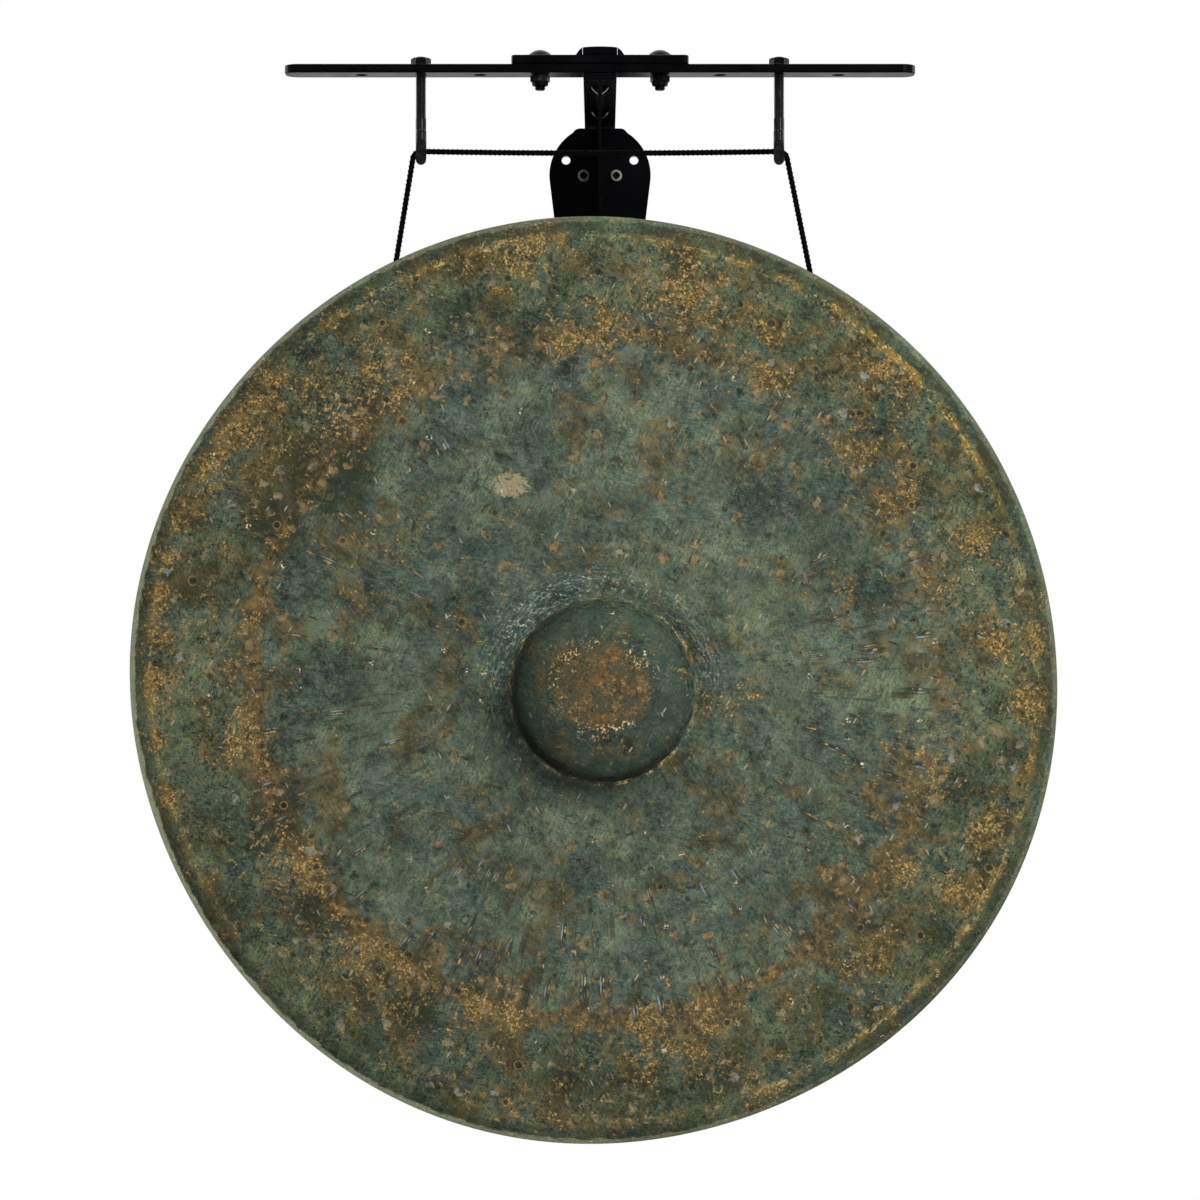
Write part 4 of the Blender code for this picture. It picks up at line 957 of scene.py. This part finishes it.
# %% Make the clouds
CLOUDS = {
    "broad": (110, 4.0, 0.55, 0.0),
    "cloudy": (34, 7.0, 0.62, 0.4),
    "mottled": (11, 6.0, 0.65, 0.5),
    "sandy": (4.5, 4.0, 0.65, 0.0),
    "grainy": (1.7, 2.0, 0.6, 0.0),
    "hue": (55, 6.0, 0.62, 0.8),
    "patchy": (44, 8.0, 0.66, 0.6),
    "crusty": (20, 7.0, 0.68, 0.5),
    "stained": (15, 7.0, 0.70, 1.3),
    "hazy": (28, 8.0, 0.70, 0.8),
}
noise = dict(guide)
for turn, (name, (size, detail, roughness, warp)) in enumerate(CLOUDS.items()):
    shift = (370 * turn, 0, 530 * turn)
    shifted = add(tree, "VectorMath", {0: spot, 1: shift}, operation="ADD")
    inputs = {"Vector": shifted, "Scale": 1 / size, "Detail": detail}
    inputs |= {"Roughness": roughness, "Distortion": warp}
    noise[name] = add(tree, "TexNoise", inputs)
print("clouds:", list(CLOUDS))

# %% [markdown]
# The whole face is covered with fine brush marks, from years of cloths and wire. Noise
# that is stretched along one direction draws them. Three directions are laid over each
# other, each strong in its own parts of the gong. Near the boss and along the edge the
# marks run round instead, so one more noise is stretched round the middle.


# %% Brush the face
def round_and_out(direction, round_scale, ring_step):
    """A space made of the direction from the middle and the radius."""
    inputs = {0: direction, "Scale": float(round_scale)}
    round_it = add(tree, "VectorMath", inputs, operation="SCALE")
    out = add(tree, "Math", {0: guide["ring"], 1: ring_step}, operation="DIVIDE")
    out = add(tree, "CombineXYZ", {1: out})
    return add(tree, "VectorMath", {0: round_it, 1: out}, operation="ADD")


brushed = 0.5
for turn, shift, region in ((25, 300, "cloudy"), (100, 700, "hue"), (-35, 1100, "patchy")):
    inputs = {"Vector": spot, "Location": (shift, 0, shift), "Scale": (1.4, 9, 9)}
    inputs["Rotation"] = (0, math.radians(turn), 0)
    run = add(tree, "Mapping", inputs, vector_type="TEXTURE")
    hair = add(tree, "TexNoise", {"Vector": run, "Scale": 1.0, "Detail": 3.0})
    strong = add(tree, "MapRange", {0: noise[region], 1: 0.42, 2: 0.60, 3: 0.15})
    part = add(tree, "Mix", {0: strong, 2: 0.5, 3: hair})
    part = add(tree, "Math", {0: part, 1: 0.5}, operation="SUBTRACT")
    brushed = add(tree, "Math", {0: brushed, 1: part}, operation="ADD")
noise["brushed"] = brushed
level = add(tree, "VectorMath", {0: spot, 1: (1, 0, 1)}, operation="MULTIPLY")
heading = add(tree, "VectorMath", {0: level}, operation="NORMALIZE")
inputs = {"Vector": round_and_out(heading, 11, 1.5), "Scale": 1.0}
inputs |= {"Detail": 4.0, "Distortion": 0.4}
noise["circling"] = add(tree, "TexNoise", inputs)

# %% [markdown]
# Several masks are weighed sums of the same clouds and guides. A table holds the
# weights: each row starts from a number and adds its ingredients to it.

# %% Weigh the masks
GLAZE_BY_RADIUS = [
    (0.0, "#404040"), (0.26, "#2A2A2A"), (0.50, "#3A3A3A"), (0.64, "#4C4C4C"),
    (0.69, "#5E5E5E"), (0.74, "#4C4C4C"), (0.86, "#585858"), (0.93, "#484848"),
]
WORN_TOP, WORN_TOP_STRETCH = (5.5, 0, -5.4), (1, 0, 1.1)
radius_share = add(tree, "Math", {0: guide["ring"], 1: 360.0}, operation="DIVIDE")
noise["more_glaze"] = add(tree, "ValToRGB", {0: radius_share}, stops=GLAZE_BY_RADIUS)
top_spot = add(tree, "VectorMath", {0: level, 1: WORN_TOP}, operation="SUBTRACT")
top_spot = add(tree, "VectorMath", {0: top_spot, 1: WORN_TOP_STRETCH}, operation="MULTIPLY")
noise["from_top"] = add(tree, "VectorMath", {0: top_spot}, out="Value", operation="LENGTH")
WEIGHTS = {
    "tone": (-0.66, "broad .35 cloudy .45 mottled .45 brushed .42 grainy .36 sandy .27"),
    "glaze": (0, "patchy 1 crusty .35 rust .2 gold .1 more_glaze .5 brushed .12"),
    "grains": (0, "crusty .5 sandy .5 grainy .3 gold .16 rust .07 more_glaze .3 brushed .4"),
    "spotted": (0, "rusty .5 mottled .5 sandy .3 crusty .3"),
    "chip": (0, "chipped 1 sandy .8 grainy .5"),
    "shaded": (0, "gloom .6 crusty .5 mottled .4 patchy .3"),
    "wandering": (-15, "cloudy 30 ring 1"),
    "edge_place": (-4, "mottled 8 ring 1"),
    "boss_place": (-9, "crusty 12 sandy 6 ring 1"),
    "top_place": (-15, "crusty 16 sandy 14 from_top 1"),
    "tooth": (0, "sandy .35 grainy .3 brushed .45 mottled .3"),
}
weighed = {}
for name, (value, recipe) in WEIGHTS.items():
    words = recipe.split()
    for part, weight in zip(words[::2], words[1::2]):
        inputs = {0: noise[part], 1: float(weight), 2: value}
        value = add(tree, "Math", inputs, operation="MULTIPLY_ADD")
    weighed[name] = value
noise |= weighed
print("weighed:", list(weighed))

# %% [markdown]
# Each mask turns a level into a share between nothing and full strength, over a range
# from one value to another. A peak has two sides, so it takes two rows of the table.

# %% Cut the masks
MASKS = {
    "band": ("wandering", 250, 274, 1.0),
    "glaze": ("glaze", 0.77, 0.90, 0.72),
    "worn": ("grains", 0.91, 1.04, 0.62),
    "grains": ("grains", 1.01, 1.07, 0.9),
    "bright_grains": ("grains", 1.11, 1.17, 0.9),
    "spotted": ("spotted", 0.86, 1.02, 0.62),
    "stains": ("stained", 0.42, 0.33, 0.75),
    "shaded": ("shaded", 0.84, 1.06, 0.75),
    "haze": ("hazy", 0.54, 0.68, 0.40),
    "dim": ("hazy", 0.47, 0.34, 0.38),
    "slate": ("hue", 0.50, 0.64, 0.7),
    "olive": ("hue", 0.50, 0.36, 0.6),
    "in_field": ("wandering", 254, 240, 1.0),
    "specks": ("grainy", 0.40, 0.33, 0.85),
    "chip": ("chip", 1.05, 1.15, 0.85),
    "dome": ("ring", 67, 63, 1.0),
    "on_top": ("top_place", 37, 30, 1.0),
    "top_in": ("top_place", 30, 34, 1.0),
    "top_out": ("top_place", 43, 37, 1.0),
    "grime_in": ("boss_place", 57, 62, 1.0),
    "grime_out": ("ring", 67.5, 65.8, 1.0),
    "foot_in": ("ring", 65.4, 66.1, 1.0),
    "foot_out": ("ring", 68.6, 67.8, 1.0),
    "collar_in": ("boss_place", 68, 71, 1.0),
    "collar_out": ("boss_place", 95, 80, 1.0),
    "inner": ("ring", 165, 115, 0.14),
    # The band of the shoulder's painted shade.
    "edge_dark_in": ("edge_place", 318, 324, 1.0),
    "edge_dark_out": ("ring", 330.5, 328.5, 0.9),
    # The band of the lip's painted highlight.
    "edge_pale": ("edge_place", 328.8, 330.3, 0.9),
    "streak_in": ("edge_place", 314, 316.5, 1.0),
    "streak_out": ("edge_place", 322.5, 319.5, 1.0),
    "rough_spots": ("sandy", 0.48, 0.58, 1.0),
    "half_spots": ("mottled", 0.44, 0.60, 1.0),
    "brush_lines": ("brushed", 0.52, 0.66, 1.0),
    "round_lines": ("circling", 0.52, 0.62, 1.0),
    "broken": ("crusty", 0.46, 0.54, 1.0),
    "fine_dots": ("grainy", 0.52, 0.60, 1.0),
    "dotted": ("grainy", 0.56, 0.46, 1.0),
    "dashes": ("mottled", 0.50, 0.56, 1.0),
}
mask = {}
for name, (level_name, start, end, most) in MASKS.items():
    inputs = {0: noise[level_name], 1: start, 2: end, 4: most}
    mask[name] = add(tree, "MapRange", inputs)
# The rim's side is plain, so the masks of the edge fade out just behind the front.
for name in ("edge_dark_in", "streak_in", "edge_pale"):
    inputs = {0: mask[name], 1: guide["near_front"]}
    mask[name] = add(tree, "Math", inputs, operation="MULTIPLY")
print(len(mask), "masks")

# %% [markdown]
# A scraper and many hammers left strokes. Cells of a Voronoi pattern, squeezed until
# they are long and narrow, hold one stroke each, and a cell's chance colour says
# whether its stroke shows and how strongly. In a space made of the direction from the
# middle and the radius, all strokes run outward, and in plain space they run straight.
# The first two kinds share their cells, turned a little, so that they lie in pairs.

# %% Lay the strokes
# The kind; how many in a radian, or the turn in degrees; how long, in millimetres; where
# a stroke is full and where it ends, in cells; how rare it is; a shift in radians.
STROKES = [
    ("outward", 40, 44, 0.10, 0.18, 0.30, 0.0),
    ("outward", 40, 44, 0.10, 0.18, 0.30, 0.010),
    ("outward", 54, 38, 0.12, 0.20, 0.40, 0.0),
    ("straight", 32, 26, 0.08, 0.13, 0.66, 0.0),
    ("straight", 112, 38, 0.08, 0.13, 0.60, 0.0),
    ("straight", 155, 30, 0.07, 0.11, 0.66, 0.0),
]
for turn, (kind, first, second, half, edge, rare, aside) in enumerate(STROKES):
    if kind == "outward":
        inputs = {"Vector": heading, "Angle": float(aside)}
        turned = add(tree, "VectorRotate", inputs, rotation_type="Y_AXIS")
        run = round_and_out(turned, first, second)
    else:
        inputs = {"Vector": spot, "Location": (97.0 * turn, 0, 0)}
        inputs |= {"Rotation": (0, math.radians(first), 0), "Scale": (6.0, 9, second)}
        run = add(tree, "Mapping", inputs, vector_type="TEXTURE")
    cells = add(tree, "TexVoronoi", {"Vector": run, "Scale": 1.0}, out=None)
    away = cells["Distance"]
    luck = add(tree, "SeparateColor", {0: cells["Color"]}, out=None)
    mask[f"stroke {turn}"] = add(tree, "MapRange", {0: away, 1: edge, 2: half})
    if kind == "outward":
        mask[f"shadow {turn}"] = add(tree, "MapRange", {0: away, 1: 1.7 * edge, 2: edge})
    mask[f"shown {turn}"] = add(tree, "MapRange", {0: luck[0], 1: rare, 2: rare + 0.04})
    mask[f"some {turn}"] = luck[1]
fleck_cells = add(tree, "TexVoronoi", {"Vector": spot, "Scale": 1 / 13}, out=None)
fleck_luck = add(tree, "SeparateColor", {0: fleck_cells["Color"]}, out=0)
mask["fleck"] = add(tree, "MapRange", {0: fleck_cells["Distance"], 1: 0.21, 2: 0.14})
mask["fleck shown"] = add(tree, "MapRange", {0: fleck_luck, 1: 0.70, 2: 0.74})
mask["pit shown"] = add(tree, "MapRange", {0: fleck_luck, 1: 0.24, 2: 0.20, 4: 0.8})
print(len(STROKES), "kinds of stroke")

# %% [markdown]
# The dimples show as small dots, soft and pale on a dark ring, or dark in a golden one.
# The way to the nearest dimple was kept on the points, so its length is the distance,
# with 1 at the dimple's edge. The third number is the dimple's luck, which varies them.

# %% Ring the dimples
dimple = add(tree, "Attribute", out="Vector", attribute_name="to_dimple")
dimple_flat = add(tree, "VectorMath", {0: dimple, 1: (1, 1, 0)}, operation="MULTIPLY")
away = add(tree, "VectorMath", {0: dimple_flat}, out="Value", operation="LENGTH")
luck = add(tree, "SeparateXYZ", {0: dimple}, out=2)
DIMPLE_MASKS = {
    "halo": (away, 1.55, 0.9, 0.8),
    "lip": (away, 0.70, 0.92, 1.0),
    "lip end": (away, 1.2, 1.0, 1.0),
    "disc": (away, 0.88, 0.55, 0.75),
    "cup": (away, 0.85, 0.35, 1.0),
    "rusty one": (luck, RUSTY_LUCK, 0.72, 0.8),
    "pale one": (luck, 0.35, 0.95, 0.8),
    "dark one": (luck, 0.30, 0.05, 0.7),
    "blue one": (luck, 0.96, 0.97, 0.9),
}
for name, (value, start, end, most) in DIMPLE_MASKS.items():
    mask[name] = add(tree, "MapRange", {0: value, 1: start, 2: end, 4: most})
mask |= {name: guide[name] for name in guides if name not in mask}

# %% [markdown]
# Now the painting. A list holds the layers from the ground up. Each has a colour and
# one or more masks, which are multiplied. The ground's colour changes with the tone of
# the clouds, and so does the gold, from dark olive to pale brass.

# %% Paint the patina
TONES = {
    "field": ("tone", (0.30, "#252F29"), (0.42, "#414F45"), (0.50, "#556354"),
              (0.58, "#68765F"), (0.70, "#8F9676")),
    "band": ("tone", (0.30, "#20271C"), (0.42, "#3C4836"), (0.50, "#505E48"),
             (0.58, "#636F53"), (0.70, "#88865D")),
    "gold": ("grainy", (0.34, "#4A3C1C"), (0.46, "#785F30"), (0.54, "#957A45"),
             (0.66, "#C8AC72")),
    "rust": ("mottled", (0.35, "#3A3519"), (0.50, "#574A26"), (0.65, "#7A6633")),
    "orange": ("sandy", (0.36, "#463D25"), (0.50, "#735B34"), (0.64, "#9C7A46")),
    "back": ("tone", (0.38, "#27271A"), (0.5, "#383826"), (0.62, "#4C4930")),
}
tones = {}
for name, (level_name, *stops) in TONES.items():
    tones[name] = add(tree, "ValToRGB", {0: noise[level_name]}, stops=stops)
LAYERS = [
    ("band", "band"),
    ("#4C625F", "slate", 0.45),
    ("#596040", "olive", 0.4),
    ("#2A332B", "dim"),
    ("#7F8C79", "haze", "in_field"),
    ("#34443A", "dome", 0.62),
    ("#36423A", "collar_in", "collar_out", 0.4),
    ("#26302A", "inner"),
    ("rust", "glaze"),
    ("#29301F", "shaded"),
    ("orange", "spotted"),
    ("orange", "rust", "half_spots", 0.85),
    ("#2A2418", "rust", "stains"),
    ("#23281D", "stains"),
    ("#786438", "worn"),
    ("gold", "grains"),
    ("#CDB47C", "bright_grains", "fine_dots"),
    ("#1E2319", "specks", "band", 0.85),
    ("#252D25", "specks", 0.32),
    ("#A89C78", "chip", 0.9),
    ("#3A3A2A", "chip", "specks"),
    ("orange", "halo", "rusty one", "half_spots"),
    ("#262C22", "lip", "lip end", "dotted", 0.8),
    ("#8C927D", "disc", "pale one", "half_spots"),
    ("#A79A6C", "lip", "lip end", "pale one", "rough_spots"),
    ("#B39458", "lip", "lip end", "dark one", "glaze"),
    ("#20251B", "cup", "dark one"),
    ("#7C98A4", "disc", "blue one", "rough_spots"),
    ("#4A3F26", "shadow 0", "shown 0", "stroked", 0.8),
    ("#86A0AC", "stroke 0", "shown 0", "stroked", "half_spots"),
    ("#2C352C", "shadow 1", "shown 1", "stroked", 0.8),
    ("#BFA068", "stroke 1", "shown 1", "stroked", "rough_spots"),
    ("#2F382E", "shadow 2", "shown 2", "stroked", 0.6),
    ("#B98E55", "stroke 2", "shown 2", "stroked", "some 2", "rough_spots"),
    ("#A39A7C", "stroke 3", "shown 3", "some 3"),
    ("#2E352B", "stroke 4", "shown 4", "some 4"),
    ("#94968A", "stroke 5", "shown 5", "some 5"),
    ("#E2CFAE", "fleck", "fleck shown", "broken", "fine_dots"),
    ("#272D23", "fleck", "pit shown", "rough_spots"),
]
print(len(LAYERS), "layers of patina")

# %% [markdown]
# The boss has its own story. Beaters have worn its top to brown and bare metal, painted
# shade darkens its foot in a crescent on the lower left and bottom, darker lines run round
# its base, a broken line of gold runs round it, and the collar is scuffed pale. Painted
# shade darkens a band at the gong's edge, most of all on the upper right, and a pale painted
# highlight runs along the lip, strongest on the left. A streak of gold follows the edge,
# most of all on the upper right.

# %% Wear the boss and the edge, and paint their shade and highlight
LAYERS += [
    ("#585338", "on_top", 0.65),
    ("orange", "on_top", "half_spots", 0.9),
    ("#AC824A", "on_top", "rough_spots", "fine_dots", 0.8),
    ("#2A2A20", "on_top", "stains"),
    ("#2C3527", "on_top", "broken", "rough_spots", 0.6),
    ("#262A1F", "on_top", "specks", 0.9),
    ("#262B20", "top_in", "top_out", "dotted", "half_spots", 0.75),
    ("#E6CC8E", "top_in", "top_out", "fine_dots", "rough_spots", "broken"),
    # Painted shade: a dark crescent at the boss's foot, on the lower left and bottom.
    ("#161A14", "grime_in", "grime_out", "crescent", 0.9),
    ("#1C221B", "grime_in", "grime_out", "round_lines", 0.8),
    ("#E2BF80", "foot_in", "foot_out", "foot_line", "dashes", "rough_spots"),
    ("#84968C", "collar_in", "collar_out", "scuffed", "round_lines", 0.75),
    ("#BECCC2", "collar_in", "collar_out", "scuffed", "brush_lines", "fine_dots"),
    # Painted shade in a band where the shoulder turns away, darkest on the upper right.
    ("#333A24", "edge_dark_in", "edge_dark_out", "half_spots", 0.6),
    ("#2A3328", "edge_dark_in", "green_edge", "broken", 0.7),
    ("#8A7238", "streak_in", "streak_out", "gold_edge", "broken", 0.85),
    ("#CDB06A", "streak_in", "streak_out", "gold_edge", "fine_dots", "rough_spots"),
    ("#E0C682", "streak_in", "streak_out", "gold_edge", "round_lines", "rough_spots"),
    # Painted highlight: a pale line along the lip, strongest on the left, with specks and bright
    # dots in it.
    ("#C4CDA8", "edge_pale", "pale_edge", 0.85),
    ("#3C4530", "edge_pale", "specks"),
    ("#DDD6A8", "edge_pale", "pale_edge", "fine_dots", "rough_spots"),
]
paint = tones["field"]
for colour, *shares in LAYERS:
    share = 1.0
    for other in shares:
        other = mask.get(other, other)
        share = add(tree, "Math", {0: share, 1: other}, operation="MULTIPLY")
    over = linear(colour) if colour.startswith("#") else tones[colour]
    paint = add(tree, "Mix", {0: share, 6: paint, 7: over}, out=2, data_type="RGBA")
inputs = {0: guide["front"], 6: tones["back"], 7: paint}
paint = add(tree, "Mix", inputs, out=2, data_type="RGBA")

# %% [markdown]
# Patina is dull and metal is not. The roughness changes a little with the clouds, and
# only the brightest grains are partly a metal. A fine bump gives the crust its tooth, and
# a dip to each dimple.

# %% Put the patina on the gong
DIP_DEPTH, CRUST_HEIGHT = 0.0003, 0.0006
rough = add(tree, "MapRange", {0: noise["cloudy"], 1: 0.35, 2: 0.65, 3: 0.60, 4: 0.76})
metal = add(tree, "Math", {0: mask["bright_grains"], 1: 0.6}, operation="MULTIPLY")
inputs = {0: away, 1: 1.0, 2: 0.15, 4: DIP_DEPTH}
dip = add(tree, "MapRange", inputs, interpolation_type="SMOOTHSTEP")
crust = add(tree, "Math", {0: noise["tooth"], 1: CRUST_HEIGHT}, operation="MULTIPLY")
crust = add(tree, "Math", {0: crust, 1: dip}, operation="SUBTRACT")
tooth = add(tree, "Bump", {"Height": crust, "Distance": 1.0, "Strength": 0.7})
inputs = {"Base Color": paint, "Roughness": rough, "Metallic": metal, "Normal": tooth}
bronze = add(tree, "BsdfPrincipled", inputs)
tree.links.new(bronze, surface)
gong.data.materials.append(patina)
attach(gong, "hanging_gong")
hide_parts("gong")
print("patina:", len(tree.nodes), "nodes")
